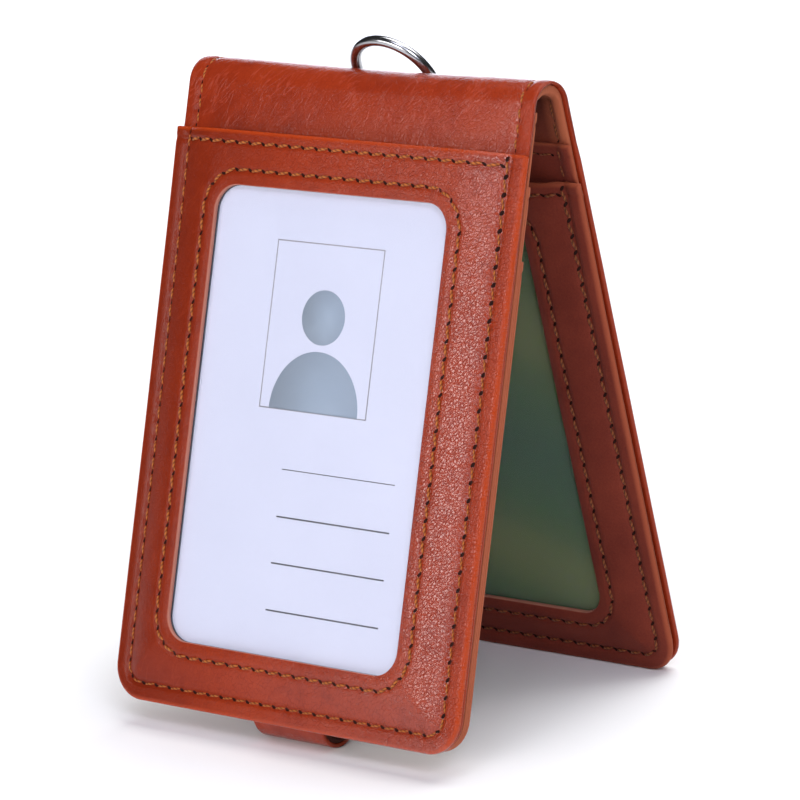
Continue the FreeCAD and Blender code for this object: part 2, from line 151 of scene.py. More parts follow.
def make_object(name, points, quads, uv, material, flat=None, edge=None, cut=None):
    """Closed mesh of four-sided faces, turned outward, with its map and the marks of its edges."""
    a, b, c, d = (points[quads[:, i]] for i in range(4))
    volume = np.einsum("ij,ij->", a, np.cross(b, c)) + np.einsum("ij,ij->", a, np.cross(c, d))
    if volume < 0:
        quads = quads[:, ::-1]
    mesh = bpy.data.meshes.new(name)
    mesh.vertices.add(len(points))
    mesh.vertices.foreach_set("co", (points * MM).astype(np.float32).ravel())
    mesh.loops.add(quads.size)
    mesh.loops.foreach_set("vertex_index", quads.astype(np.int32).ravel())
    mesh.polygons.add(len(quads))
    mesh.polygons.foreach_set("loop_start", np.arange(0, quads.size, 4, dtype=np.int32))
    mesh.update(calc_edges=True)
    mesh.polygons.foreach_set("use_smooth", np.ones(len(quads), bool) if flat is None else ~flat)
    layer = mesh.uv_layers.new(name="map")
    layer.data.foreach_set("uv", (uv[quads.ravel()] / MAP_UNIT).astype(np.float32).ravel())
    for key, values in (("edge", edge), ("cut", cut)):
        if values is not None:
            attribute = mesh.attributes.new(key, "FLOAT", "POINT")
            attribute.data.foreach_set("value", values.astype(np.float32).ravel())
    mesh.materials.append(material)
    mesh.validate()
    return add_item(name, mesh)


def grid_quads(rows, columns, wrap=False, wrap_columns=False):
    """Faces of a grid of points, which may close on itself either way."""
    i = np.arange(rows if wrap else rows - 1)
    j = np.arange(columns if wrap_columns else columns - 1)
    i, j = (value.ravel() for value in np.meshgrid(i, j, indexing="ij"))
    next_i, next_j = (i + 1) % rows, (j + 1) % columns
    return np.stack((i * columns + j, next_i * columns + j, next_i * columns + next_j, i * columns + next_j), 1)


def sheet(name, top, bottom, uv, material, keep=None, flat_end=False, edge=None):
    """Sheet between two grids of points, closed by walls. keep marks the cells that the sheet has."""
    rows, columns = top.shape[:2]
    count = rows * columns
    keep = np.ones((rows - 1, columns - 1), bool) if keep is None else keep
    upper = grid_quads(rows, columns)[keep.ravel()]
    fenced = np.pad(keep, 1)
    walls, flat = [], [np.zeros(2 * len(upper), bool)]
    i, j = np.nonzero(keep)
    corner = i * columns + j
    sides = ((0, -1, 0, columns), (1, 0, columns, columns + 1), (0, 1, columns + 1, 1), (-1, 0, 1, 0))
    for di, dj, start, end in sides:
        bare = ~fenced[i + 1 + di, j + 1 + dj]
        first, last = corner[bare] + start, corner[bare] + end
        walls.append(np.stack((last, first, first + count, last + count), 1))
        flat.append((i[bare] == rows - 2) & (di > 0) & flat_end)
    quads = np.concatenate((upper, upper[:, ::-1] + count, *walls))
    points = np.concatenate((top.reshape(-1, 3), bottom.reshape(-1, 3)))
    used = np.unique(quads)
    renumber = np.zeros(len(points), np.int64)
    renumber[used] = np.arange(len(used))
    uv = np.tile(uv.reshape(-1, 2), (2, 1))
    edge = None if edge is None else np.tile(edge.ravel(), 2)[used]
    return make_object(name, points[used], renumber[quads], uv[used], material, np.concatenate(flat), edge)


def panel_sheet(name, panel, x, p, high, low, material, **more):
    """Sheet between two heights over a grid of a panel."""
    return sheet(name, panel.place(x, p, high), panel.place(x, p, low), np.stack((x, p), -1), material, **more)


def ring_sheet(name, panel, upper, high, lower, low, material, edge=None, cut=None):
    """Sheet round an opening: the rows of its two grids run round it, the columns from the outer edge to it."""
    rows, columns = upper.shape[:2]
    under = lower.shape[1]
    count = rows * columns
    i = np.arange(rows)
    k = (i + 1) % rows
    last, last_under = columns - 1, count + under - 1
    outer = np.stack((k * columns, i * columns, count + i * under, count + k * under), 1)
    inner = np.stack((i * columns + last, k * columns + last, k * under + last_under, i * under + last_under), 1)
    quads = np.concatenate((grid_quads(rows, columns, True), grid_quads(rows, under, True)[:, ::-1] + count,
                            outer, inner))
    points = np.concatenate([panel.place(flat[..., 0], flat[..., 1], w).reshape(-1, 3)
                             for flat, w in ((upper, high), (lower, low))])
    uv = np.concatenate((upper.reshape(-1, 2), lower.reshape(-1, 2)))
    return make_object(name, points, quads, uv, material, None, edge, cut)


def graded(length, fine, coarse, growth=1.35):
    """Positions from 0 to length with fine steps at both ends."""
    steps = [0.0]
    step = fine
    while steps[-1] < length / 2:
        steps.append(steps[-1] + step)
        step = min(coarse, step * growth)
    half = np.array(steps) * (length / 2 / steps[-1])
    return np.concatenate((half, length - half[-2::-1]))


# Shapes of faces and edges

def edge_distance(x, p, half, bottom, corner):
    """Distance inward from a panel's sides and rounded bottom edge."""
    side, foot = half - np.abs(x), p + bottom
    round_part = corner - np.hypot(np.maximum(corner - side, 0), np.maximum(corner - foot, 0))
    return np.where((side < corner) & (foot < corner), round_part, np.minimum(side, foot))


def panel_distance(x, p, inset=0.0):
    """Distance inward from the edge of a sheet that is inset from its panel's edge."""
    return edge_distance(x, p, HALF_WIDTH - inset, PANEL_LENGTH - inset, PANEL_CORNER - inset)


def window_distance(x, p, window, corner=WINDOW_CORNER):
    """Distance outward from a window's edge."""
    half, top, bottom = window
    across = np.abs(x) - half + corner
    upright = np.abs(p + (top + bottom) / 2) - (bottom - top) / 2 + corner
    return (np.hypot(np.maximum(across, 0), np.maximum(upright, 0))
            + np.minimum(np.maximum(across, upright), 0) - corner)


def rounded_half(half, corner, to_end):
    """Half width of a strip with rounded corners, at a distance from its end."""
    short = np.maximum(corner - to_end, 0)
    return half - corner + np.sqrt(np.maximum(corner ** 2 - short ** 2, 0))


def rolled(distance, radius):
    """Drop of a face near a rounded edge."""
    inward = radius - np.clip(distance, 0, radius)
    return radius - np.sqrt(np.maximum(radius ** 2 - inward ** 2, 0))


def near_edge(distance, width):
    """Mark that fades from 1 at an edge to 0."""
    return np.clip(1 - distance / width, 0, 1)


def groove(distance, at, width, depth):
    return depth * np.exp(-((distance - at) / width) ** 2)


def swell(distance, width):
    """Fullness of leather between its edge and a seam."""
    return np.sin(np.pi * np.clip(distance / width, 0, 1))


def ease(value):
    value = np.clip(value, 0, 1)
    return value * value * (3 - 2 * value)


def dents(x, p, holes, radius, depth):
    """Small hollows that the needle holes pull into a face."""
    total = np.zeros(np.shape(x))
    for hole_x, hole_p in holes:
        total += np.exp(-((x - hole_x) ** 2 + (p - hole_p) ** 2) / radius ** 2)
    return depth * total


def ripple(x, p, size, seed):
    """Slow unevenness of hand-turned leather, between -1 and 1."""
    total = 0
    for i in range(4):
        angle = seed * 1.7 + i * 2.4
        wave = 2 * math.pi / (size * (1 + 0.37 * i))
        total = total + np.sin(wave * (x * math.cos(angle) + p * math.sin(angle)) + seed * (i + 1))
    return total / 4


# Lines on a panel

def polyline(points, closed=False):
    """Points along a line with the length run so far."""
    points = np.asarray(points, float)
    if closed:
        points = np.concatenate((points, points[:1]))
    return points, np.concatenate(([0.0], np.cumsum(np.linalg.norm(np.diff(points, axis=0), axis=1))))


def arc(centre, radius, start, end, count=24):
    angles = np.radians(np.linspace(start, end, count))
    return np.stack((centre[0] + radius * np.cos(angles), centre[1] + radius * np.sin(angles)), 1)


def edge_path(top):
    """Seam round the sides and bottom of a panel, from the height top down and up again."""
    radius, foot = PANEL_CORNER - SEAM_INSET, SEAM_INSET - PANEL_LENGTH
    return polyline(np.concatenate((
        [(-SEAM_X, top)], arc((-SEAM_X + radius, foot + radius), radius, 180, 270),
        arc((SEAM_X - radius, foot + radius), radius, 270, 360), [(SEAM_X, top)])))


def window_path(window):
    """Seam round a window."""
    half, top, bottom = window
    x, high, low = half + WINDOW_SEAM, WINDOW_SEAM - top, -WINDOW_SEAM - bottom
    radius = WINDOW_CORNER + WINDOW_SEAM
    return polyline(np.concatenate((
        arc((x - radius, high - radius), radius, 0, 90), arc((radius - x, high - radius), radius, 90, 180),
        arc((radius - x, low + radius), radius, 180, 270), arc((x - radius, low + radius), radius, 270, 360))), True)


def hem_path(top, half=33.0):
    """Seam across a sheet below its hem."""
    return polyline(((-half, -top - HEM_SEAM), (half, -top - HEM_SEAM)))


def side_paths(start, end):
    """Seams along both sides of a panel, between two heights."""
    return [polyline(((side * SEAM_X, start), (side * SEAM_X, end))) for side in (-1, 1)]


def along(path, distance):
    points, run = path
    return np.stack([np.interp(distance, run, points[:, i]) for i in range(2)], -1)


def needle_holes(path):
    """Evenly spaced needle holes along a line."""
    length = path[1][-1]
    return np.linspace(0, length, max(2, round(length / STITCH_PITCH) + 1))


def holes_of(*paths):
    return np.concatenate([along(path, needle_holes(path)) for path in paths])


def turned_left(directions):
    return np.stack((-directions[:, 1], directions[:, 0]), 1)


# Stitches. A surface is a panel, the height of a face on it and the side that the face looks to.
# A seam has a thread's radius, lift, slant and gap at a hole, and a hole's length, width and skew.
INNER_HOLE = (0.70, 0.38, -22.0)
INNER_SEAM = ((0.23, 0.12, 0.34, 0.38), INNER_HOLE)
SUNK_SEAM = ((0.16, 0.02, 0.34, 0.38), INNER_HOLE)
EDGE_SEAM = ((0.19, 0.10, 0.32, 0.72), (1.0, 0.58, -22.0))
BORDER_SEAM = ((0.25, 0.14, 0.50, 0.65), (1.0, 0.54, -34.0))
THREAD_SIDES, THREAD_STEPS, THREAD_GIRTH = 8, 9, 1.3
THREAD_CAPS = ((0, 1, 2, 3), (0, 3, 4, 7), (4, 5, 6, 7))
HOLE_RINGS = ((0.35, 1), (0.75, 1), (1.0, 0), (0.75, -1), (0.35, -1))
HOLE_SPOKES, HOLE_HEIGHT, HOLE_SINK = 12, 0.05, 0.06
HOLE_CAPS = [(0, i, i + 1, i + 2) for i in range(1, HOLE_SPOKES - 2, 2)]


def surface_frame(surface, flat):
    """Points of a face with the direction that it looks in."""
    panel, face, side = surface
    x, p = flat[..., 0], flat[..., 1]
    step = 0.05
    at = panel.place(x, p, face(x, p))
    across = panel.place(x + step, p, face(x + step, p)) - at
    upward = panel.place(x, p + step, face(x, p + step)) - at
    normal = unit_rows(np.cross(across, upward))
    outward = side * (panel.place(x, p, face(x, p) + 1.0) - at)
    return at, normal * np.sign(np.sum(normal * outward, -1, keepdims=True))


def repeated(name, parts, sides, columns, caps, uv, material):
    """One mesh of many small closed tubes, whose ends have these faces."""
    ends = []
    for column, turn in ((0, 1), (columns - 1, -1)):
        ring = np.arange(sides) * columns + column
        ends += [ring[list(cap)][::turn] for cap in caps]
    pattern = np.concatenate((grid_quads(sides, columns, True), np.array(ends)[:, ::-1]))
    parts = np.concatenate(parts)
    first = np.arange(len(parts)) * sides * columns
    points = parts.reshape(-1, 3)
    uv = points[:, :2] if uv is None else np.concatenate(uv)
    return make_object(name, points, (pattern + first[:, None, None]).reshape(-1, 4), uv, material)


def stitches(name, surface, paths, material, radius, lift, slant, gap):
    """Rows of single stitches: each lies a little across its seam and dips into its two needle holes."""
    t = np.linspace(0, 1, THREAD_STEPS)
    bow = np.sin(math.pi * t)
    rise = lift * bow ** 0.6 - 1.2 * radius * (1 - bow ** 0.35)
    thick = radius * (0.5 + 0.5 * bow ** 0.4)
    angles = np.linspace(0, 2 * math.pi, THREAD_SIDES, endpoint=False)
    girth = np.linspace(0, THREAD_GIRTH, THREAD_SIDES, endpoint=False)
    parts, uv = [], []
    for path in paths:
        holes = needle_holes(path)
        start, end = holes[:-1, None], holes[1:, None]
        run = start + gap / 2 + (end - start - gap) * t
        flat = along(path, run)
        sideways = turned_left(unit_rows(flat[:, -1] - flat[:, 0]))
        at, normal = surface_frame(surface, flat + sideways[:, None] * ((t - 0.5) * slant)[:, None])
        centre = at + normal * rise[:, None]
        tangent = unit_rows(np.gradient(centre, axis=1))
        across = np.cross(tangent, normal)
        over = np.cross(across, tangent)
        ring = np.cos(angles)[:, None, None] * across[:, None] + np.sin(angles)[:, None, None] * over[:, None]
        parts.append((centre[:, None] + ring * thick[:, None]).reshape(len(run), -1, 3))
        uv.append(np.stack(np.broadcast_arrays(girth[:, None], run[:, None]), -1).reshape(-1, 2))
    return repeated(name, parts, THREAD_SIDES, THREAD_STEPS, THREAD_CAPS, uv, material)


def hole_marks(name, surface, paths, material, length, width, skew):
    """Dark needle holes, drawn out along the seam and a little across it: painted shade of the holes."""
    angles = np.linspace(0, 2 * math.pi, HOLE_SPOKES, endpoint=False)
    share, sign = np.array(HOLE_RINGS).T
    bulge = sign * HOLE_HEIGHT * np.sqrt(1 - share ** 2) - HOLE_SINK * (sign < 0)
    ahead = (np.outer(np.cos(angles), share) * length / 2)[..., None]
    aside = (np.outer(np.sin(angles), share) * width / 2)[..., None]
    cos, sin = math.cos(math.radians(skew)), math.sin(math.radians(skew))
    parts = []
    for path in paths:
        run = needle_holes(path)
        heading = unit_rows(along(path, run + 0.2) - along(path, run - 0.2))
        heading = cos * heading + sin * turned_left(heading)
        sideways = turned_left(heading)[:, None, None]
        flat = along(path, run)[:, None, None] + ahead * heading[:, None, None] + aside * sideways
        at, normal = surface_frame(surface, flat)
        parts.append((at + normal * bulge[:, None]).reshape(len(run), -1, 3))
    return repeated(name, parts, HOLE_SPOKES, len(HOLE_RINGS), HOLE_CAPS, None, material)


# Materials

class Material:
    """Node material that starts from a Principled shader."""

    def __init__(self, name, **values):
        self.material = bpy.data.materials.new(name)
        self.material.use_nodes = True
        self.tree = self.material.node_tree
        self.shader = self.tree.nodes["Principled BSDF"]
        for socket, value in values.items():
            self.shader.inputs[socket.replace("_", " ")].default_value = value

    def add(self, kind, sockets=None, **properties):
        node = self.tree.nodes.new("ShaderNode" + kind)
        for key, value in properties.items():
            setattr(node, key, value)
        for key, value in (sockets or {}).items():
            if isinstance(value, bpy.types.NodeSocket):
                self.tree.links.new(value, node.inputs[key])
            else:
                node.inputs[key].default_value = value
        return node

    def link(self, output, socket):
        self.tree.links.new(output, self.shader.inputs[socket])

    def map_mm(self, scale=(1, 1, 1), turn=0.0):
        """The piece's own map, in millimetres."""
        uv = self.add("UVMap", uv_map="map")
        turned = self.add("Mapping", {"Vector": uv.outputs["UV"], "Rotation": (0, 0, turn)}).outputs["Vector"]
        return self.add("Mapping", {"Vector": turned, "Scale": [MAP_UNIT * s for s in scale]}).outputs["Vector"]

    def noise(self, vector, scale, detail=2.0, roughness=0.5):
        return self.add("TexNoise", {"Vector": vector, "Scale": scale, "Detail": detail,
                                     "Roughness": roughness}).outputs["Fac"]

    def math(self, operation, a, b=0.0):
        return self.add("Math", {0: a, 1: b}, operation=operation).outputs[0]

    def times(self, a, b):
        return self.math("MULTIPLY", a, b)

    def weighted(self, a, share_a, b, share_b):
        """Sum of two values, each times its share."""
        return self.math("ADD", self.times(a, share_a), self.times(b, share_b))

    def ramp(self, value, *stops):
        """Colour from a value. A stop's colour may be one number, a grey."""
        node = self.add("ValToRGB", {"Fac": value})
        elements = node.color_ramp.elements
        for index, (position, colour) in enumerate(stops):
            element = elements[index] if index < 2 else elements.new(position)
            element.position = position
            element.color = [float(c) for c in np.broadcast_to(colour, 3)] + [1.0]
        return node.outputs["Color"]

    def spread(self, value, low, high, start=0.0, end=1.0):
        """Value from low to high while another goes from start to end."""
        return self.add("MapRange", {"Value": value, "From Min": start, "From Max": end, "To Min": low,
                                     "To Max": high}).outputs["Result"]

    def mix(self, factor, under, over):
        return self.add("Mix", {0: factor, 6: under, 7: (*over, 1.0)}, data_type="RGBA").outputs[2]

    def base(self, colour, edge_colour):
        """Base colour of a leather, with its rolled and cut edges."""
        for mark, tint in (("edge", edge_colour), ("cut", CUT_EDGE)):
            colour = self.mix(self.add("Attribute", attribute_name=mark).outputs["Fac"], colour, tint)
        self.link(colour, "Base Color")

    def bump(self, height, strength, distance):
        node = self.add("Bump", {"Height": height, "Strength": strength, "Distance": distance * MM})
        self.link(node.outputs["Normal"], "Normal")
        return node.outputs["Normal"]


def tinted(colour, factor, lift=0.0):
    return [c * factor + lift for c in colour]


CUT_EDGE = (0.52, 0.20, 0.135)
LEATHER_ROUGHNESS = 0.20
LEFT_SIDE = -38.0
RIGHT_ROLL = (35.2, 36.3)
# Nets of cracks between the plates of the grain: scale and width
GRAIN_NETS = ((1.5, 0.16), (2.7, 0.18))
# Creases: their lean, their scale and the noise value about which they appear
CREASES = ((0.40, 0.46, 0.50), (0.62, 0.40, 0.53), (0.90, 0.42, 0.56))
CREASE_WIDTH = 0.016


def coated_leather(name, light, base, dark, edge_colour, grain, crease, left_shade, coat):
    """Glossy leather: grain with cracks, pulled light creases, uneven colour and brighter rolled edges, with painted
    shade darker towards the left side and in the cracks.
    """
    m = Material(name, Specular_IOR_Level=0.10, Coat_Roughness=LEATHER_ROUGHNESS, Coat_IOR=1.5)
    at = m.map_mm()
    across = m.add("SeparateXYZ", {"Vector": at}).outputs["X"]
    drift = m.add("TexNoise", {"Vector": at, "Scale": 0.8, "Detail": 2.0}).outputs["Color"]
    drift = m.add("VectorMath", {0: drift, 1: (0.45, 0.45, 0.0)}, operation="MULTIPLY").outputs[0]
    wander = m.add("VectorMath", {0: m.map_mm((1.0, 0.75, 1.0), 0.6), 1: drift}, operation="ADD").outputs[0]
    cracks = []
    for scale, width in GRAIN_NETS:
        rim = m.add("TexVoronoi", {"Vector": wander, "Scale": scale}, feature="DISTANCE_TO_EDGE",
                    voronoi_dimensions="2D").outputs["Distance"]
        cracks.append(m.ramp(rim, (0.0, 1), (width, 0)))
    deep = m.ramp(m.noise(at, 0.9), (0.36, 0.25), (0.60, 1))
    valley = m.weighted(m.times(cracks[0], deep), 1.3, cracks[1], 0.55)
    strokes = []
    for turn, scale, shown in CREASES:
        flow = m.noise(m.map_mm((1.0, 0.16, 1.0), turn), scale)
        line = m.ramp(m.math("ABSOLUTE", m.math("SUBTRACT", flow, 0.5)), (0.0, 1), (CREASE_WIDTH, 0))
        where = m.ramp(m.noise(m.map_mm(turn=turn), 0.22, 3.0), (shown - 0.08, 0), (shown + 0.06, 1))
        strokes.append(m.times(line, where))
    furrow = m.math("MAXIMUM", m.math("MAXIMUM", strokes[0], strokes[1]), strokes[2])
    fine = m.noise(at, 4.5, 4.0, 0.65)
    cloud = m.noise(at, 0.055, 4.0, 0.6)
    patch = m.noise(at, 0.35, 3.0, 0.55)
    colour = m.ramp(m.weighted(cloud, 0.7, patch, 0.3), (0.30, dark), (0.50, base), (0.72, light))
    # Painted shade: the colour darkens towards the left side, where less light falls.
    colour = m.mix(m.spread(across, left_shade, 0.0, LEFT_SIDE, -6.0), colour, tinted(dark, 0.6))
    # Painted shade: the grain's sunk cracks are painted darker.
    colour = m.mix(m.math("MINIMUM", m.times(valley, 3.2 * grain), 0.8), colour, dark)
    colour = m.mix(m.times(furrow, crease), colour, tinted(edge_colour, 1.3, 0.03))
    m.base(colour, edge_colour)
    m.link(m.spread(m.weighted(patch, 0.6, fine, 0.4), LEATHER_ROUGHNESS - 0.05, LEATHER_ROUGHNESS + 0.07),
           "Roughness")
    start, end, low, high = coat
    m.link(m.times(m.spread(across, low, high, start, end), m.spread(across, 1.0, 0.3, *RIGHT_ROLL)), "Coat Weight")
    height = m.weighted(valley, -2.3 * grain, fine, 0.10 * grain)
    height = m.times(height, m.spread(across, 0.25, 1.0, LEFT_SIDE, 12.0))
    m.link(m.bump(m.math("SUBTRACT", height, m.times(furrow, 0.5 * crease)), 1.0, 0.13), "Coat Normal")
    return m.material


def suede(name, light, dark, edge_colour, margin=0.0):
    """Matte napped leather; with a margin share it gets painted shade, darker in the fold, and painted light, paler
    by that share along its sewn sides.
    """
    m = Material(name, Sheen_Weight=0.03, Sheen_Roughness=0.5, Specular_IOR_Level=0.12)
    at = m.map_mm()
    nap = m.noise(at, 2.6, 5.0, 0.7)
    cloud = m.noise(at, 0.09, 4.0, 0.6)
    colour = m.ramp(m.weighted(cloud, 0.5, nap, 0.5), (0.34, dark), (0.66, light))
    if margin:
        place = m.add("SeparateXYZ", {"Vector": at})
        # Painted shade: darker towards and in the fold.
        colour = m.mix(m.spread(place.outputs["Y"], 0.0, 0.8, -9.0, 2.0), colour, tinted(dark, 0.45))
        aside = m.math("ABSOLUTE", place.outputs["X"])
        # Painted light: paler along the sewn sides, where the light falls.
        colour = m.mix(m.spread(aside, 0.0, margin, 32.5, 35.5), colour, edge_colour)
    m.base(colour, edge_colour)
    m.link(m.spread(nap, 0.55, 0.8), "Roughness")
    m.bump(nap, 0.7, 0.14)
    return m.material


def thread(name, light, dark):
    """Two-ply sewing thread."""
    m = Material(name, Sheen_Weight=0.05, Specular_IOR_Level=0.2)
    at = m.map_mm()
    ply = m.add("TexWave", {"Vector": at, "Scale": 0.75, "Distortion": 0.6, "Detail": 1.0},
                bands_direction="DIAGONAL").outputs["Fac"]
    m.link(m.ramp(ply, (0.2, dark), (0.7, light)), "Base Color")
    m.link(m.spread(m.noise(at, 3.0), 0.45, 0.65), "Roughness")
    m.bump(ply, 0.5, 0.06)
    return m.material


def speckled(m, tone, stops, low, high):
    """A material whose colour and roughness follow one tone."""
    m.link(m.ramp(tone, *stops), "Base Color")
    m.link(m.spread(tone, low, high), "Roughness")
    return m.material


def metal(name, colour, roughness):
    """Plated metal with a faint haze."""
    m = Material(name, Metallic=1.0)
    haze = m.noise(m.add("TexCoord").outputs["Object"], 900.0, 3.0)
    return speckled(m, haze, ((0.2, tinted(colour, 0.93)), (0.8, colour)), roughness * 0.7, roughness * 1.5)


def ink(name, light, dark, gloss=0.4):
    """Ink or other thin dark film with a fine mottle."""
    m = Material(name, Specular_IOR_Level=gloss)
    return speckled(m, m.noise(m.map_mm(), 3.0, 3.0), ((0.3, dark), (0.7, light)), 0.35, 0.5)


def pressed_board(name):
    """Grey-brown fibre board."""
    m = Material(name)
    fibre = m.noise(m.add("TexCoord").outputs["Object"], 2500.0, 5.0, 0.7)
    return speckled(m, fibre, ((0.3, (0.20, 0.15, 0.11)), (0.7, (0.32, 0.26, 0.20))), 0.8, 0.95)


def printed_card(name):
    """White plastic card with a barely uneven sheen."""
    m = Material(name, Coat_Weight=0.3, Coat_Roughness=0.12, Specular_IOR_Level=0.4)
    at = m.map_mm()
    m.link(m.ramp(m.noise(at, 0.04), (0.3, (0.545, 0.565, 0.70)), (0.7, (0.57, 0.59, 0.725))), "Base Color")
    m.link(m.spread(m.noise(at, 0.5), 0.34, 0.38), "Roughness")
    return m.material


def wave_card(name):
    """Green plastic card with plain flowing bands."""
    m = Material(name, Specular_IOR_Level=0.1)
    at = m.map_mm()
    bands = m.add("TexWave", {"Vector": m.map_mm((0.3, 1.0, 1.0)), "Scale": 0.012, "Distortion": 3.0, "Detail": 1.0,
                              "Detail Scale": 0.6}, bands_direction="DIAGONAL").outputs["Fac"]
    colour = m.ramp(bands, (0.0, (0.020, 0.088, 0.030)), (0.45, (0.040, 0.115, 0.028)),
                    (0.8, (0.080, 0.140, 0.028)), (1.0, (0.140, 0.180, 0.042)))
    m.link(m.mix(m.times(m.noise(at, 0.05), 0.35), colour, (0.018, 0.092, 0.034)), "Base Color")
    m.link(m.spread(m.noise(at, 0.5), 0.36, 0.40), "Roughness")
    return m.material


def clear_film(name):
    """Clear film that only takes a faint gloss."""
    m = Material(name, Base_Color=(0.9, 0.92, 1.0, 1.0), Specular_IOR_Level=0.08, Alpha=0.04)
    m.link(m.spread(m.noise(m.map_mm(), 0.08), 0.06, 0.14), "Roughness")
    return m.material


COVER, BACK_COVER = (
    coated_leather(name, (0.34, 0.040, 0.010), (0.28, 0.029, 0.008), (0.19, 0.018, 0.006), (0.30, 0.032, 0.007),
                   0.085, crease, 0.12, (LEFT_SIDE, 32.0, 0.0, 0.62))
    for name, crease in (("cover_leather", 0.45), ("back_cover_leather", 0.22)))
FRAME = coated_leather("frame_leather", (0.34, 0.040, 0.010), (0.29, 0.030, 0.008), (0.20, 0.019, 0.006),
                       (0.44, 0.050, 0.008), 0.155, 0.08, 0.72, (-14.0, 32.0, 0.02, 0.9))
INNER_SUEDE = suede("inner_suede", (0.215, 0.036, 0.019), (0.128, 0.019, 0.0115), (0.34, 0.076, 0.033))
# The lining suede carries painted shade in the fold and painted light along its sides.
LINING_SUEDE = suede("lining_suede", (0.22, 0.043, 0.020), (0.12, 0.021, 0.011), (0.42, 0.112, 0.051), 0.85)
# Darker copy of the lining suede: painted shade for the hollow inside the strap's bend.
STRAP_SHADED_SUEDE = suede("strap_shaded_suede", (0.085, 0.020, 0.014), (0.045, 0.010, 0.008), (0.06, 0.015, 0.011))
THREAD = thread("outer_thread", (0.43, 0.125, 0.021), (0.19, 0.044, 0.009))
INNER_THREAD = thread("inner_thread", (0.26, 0.075, 0.022), (0.11, 0.028, 0.009))
# Near-black for the needle hole marks, painted shade of the holes.
HOLE = ink("needle_hole", (0.030, 0.008, 0.005), (0.014, 0.004, 0.003), 0.05)
CHROME = metal("ring_metal", (0.44, 0.44, 0.46), 0.19)
STEEL = metal("closure_metal", (0.62, 0.62, 0.64), 0.25)
WHITE = printed_card("white_card")
GREEN = wave_card("green_card")
FILM = clear_film("film")
BOARD = pressed_board("board")
# Near-black painted shade for the gap under the front window's frame.
FILM_SHADE = ink("film_painted_shade", (0.016, 0.016, 0.030), (0.010, 0.010, 0.020), 0.2)
INK_GREY = ink("portrait_ink", (0.247, 0.311, 0.394), (0.235, 0.295, 0.378), 0.15)
INK_LINE = ink("border_ink", (0.30, 0.29, 0.32), (0.22, 0.21, 0.24))
INK_DARK = ink("line_ink", (0.06, 0.06, 0.07), (0.035, 0.035, 0.045))


def fit(piece, carrier, slot, *nodes):
    """The piece rides on a body, or else is baked in place, and hides the CAD nodes that it stands for. The slot is
    not used.
    """
    if isinstance(carrier, str):
        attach(piece, carrier)
    else:
        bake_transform(piece)
    if nodes:
        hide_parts(*nodes)


def sew(name, surface, paths, carrier, seam, *nodes, inner=False):
    """Stitches along lines on a surface, with their needle holes."""
    thread_shape, hole_shape = seam
    material, slot = (INNER_THREAD, "inner_thread") if inner else (THREAD, "thread")
    fit(stitches(name + "_stitches", surface, paths, material, *thread_shape), carrier, slot, *nodes)
    fit(hole_marks(name + "_holes", surface, paths, HOLE, *hole_shape), carrier, slot)


# Panel sheets. A groove has a width and a depth, and a dent has a radius and a depth.

STRAIGHT_HALF = 25.0
FRAME_SEAM_START, BAND_END = 0.9, 0.5
front_edge_path = edge_path(-FRONT_HEM - FRAME_SEAM_START)
front_window_path = window_path(FRONT_WINDOW)
front_hem_path = hem_path(FRONT_HEM, 33.8)
band_paths = side_paths(0.0, -FRONT_HEM + BAND_END)
arc_paths = side_paths(0.0, FRONT.half_arc)
back_outer_path = edge_path(0.0)
back_edge_path = edge_path(-BACK_HEM - FRAME_SEAM_START)
back_window_path = window_path(BACK_WINDOW)
back_hem_path = hem_path(BACK_HEM, 33.6)
back_slot_path = hem_path(BACK_SLOT_TOP)


def panel_grid(p_lines, inset=0.0, extra_x=(), coarse=1.2):
    """Grid of x and p over a panel, whose lines close up in the bottom corners."""
    half = HALF_WIDTH - inset
    x_lines = np.unique(np.concatenate((graded(2 * half, 0.03, coarse) - half, extra_x)))
    x, p = np.meshgrid(x_lines, p_lines)
    limit = rounded_half(half, PANEL_CORNER - inset, p + (PANEL_LENGTH - inset))
    beyond = (np.abs(x) - STRAIGHT_HALF) * (limit - STRAIGHT_HALF) / (half - STRAIGHT_HALF)
    return np.where(np.abs(x) > STRAIGHT_HALF, np.sign(x) * (STRAIGHT_HALF + beyond), x), p


def foot_lines(bottom, top):
    """Heights from a panel's bottom edge to top, fine at both ends."""
    return graded(top + bottom, 0.02, 1.2, 1.4) - bottom


FOLD_SAG = 0.75
SAG_START = 5.0
FOLD_GRID_START = -11.0
SHOULDER_INSET, SHOULDER_WIDTH = 4.3, 3.4
DRAWN_DOWN, DRAWN_REACH = 0.45, 5.0
COVER_FULLNESS = 0.10
COVER_GROOVE, COVER_DENT = (0.45, 0.22), (0.55, 0.10)
COVER_ROLL, COVER_ROLL_LOW, COVER_RIM = 0.48, 0.45, 0.7


def sag(x, p):
    """Dip of the fold between its stiff sewn ends."""
    across = np.maximum(1 - (x / SEAM_X) ** 2, 0) ** 0.8
    return FOLD_SAG * across * ease((p + SAG_START) / (FRONT.half_arc + SAG_START))


def cover_face(dome_top, seam_paths):
    """Height of a cover's face: raised inside its sunk seam, and drawn down beside the fold's ends."""
    holes = holes_of(*seam_paths)

    def face(x, p):
        d = panel_distance(x, p)
        inside = np.minimum(d - SHOULDER_INSET, -p - dome_top)
        w = COVER_RISE * ease(inside / SHOULDER_WIDTH)
        w = w - DRAWN_DOWN * np.exp(-np.maximum(d - SEAM_INSET, 0) / DRAWN_REACH) * ease((p + 12) / 8)
        w = w + COVER_FULLNESS * swell(d, SEAM_INSET)
        w = w - groove(d, SEAM_INSET, *COVER_GROOVE) + 0.05 * ripple(x, p, 19.0, 1.0)
        return w - sag(x, p) - dents(x, p, holes, *COVER_DENT)

    return face


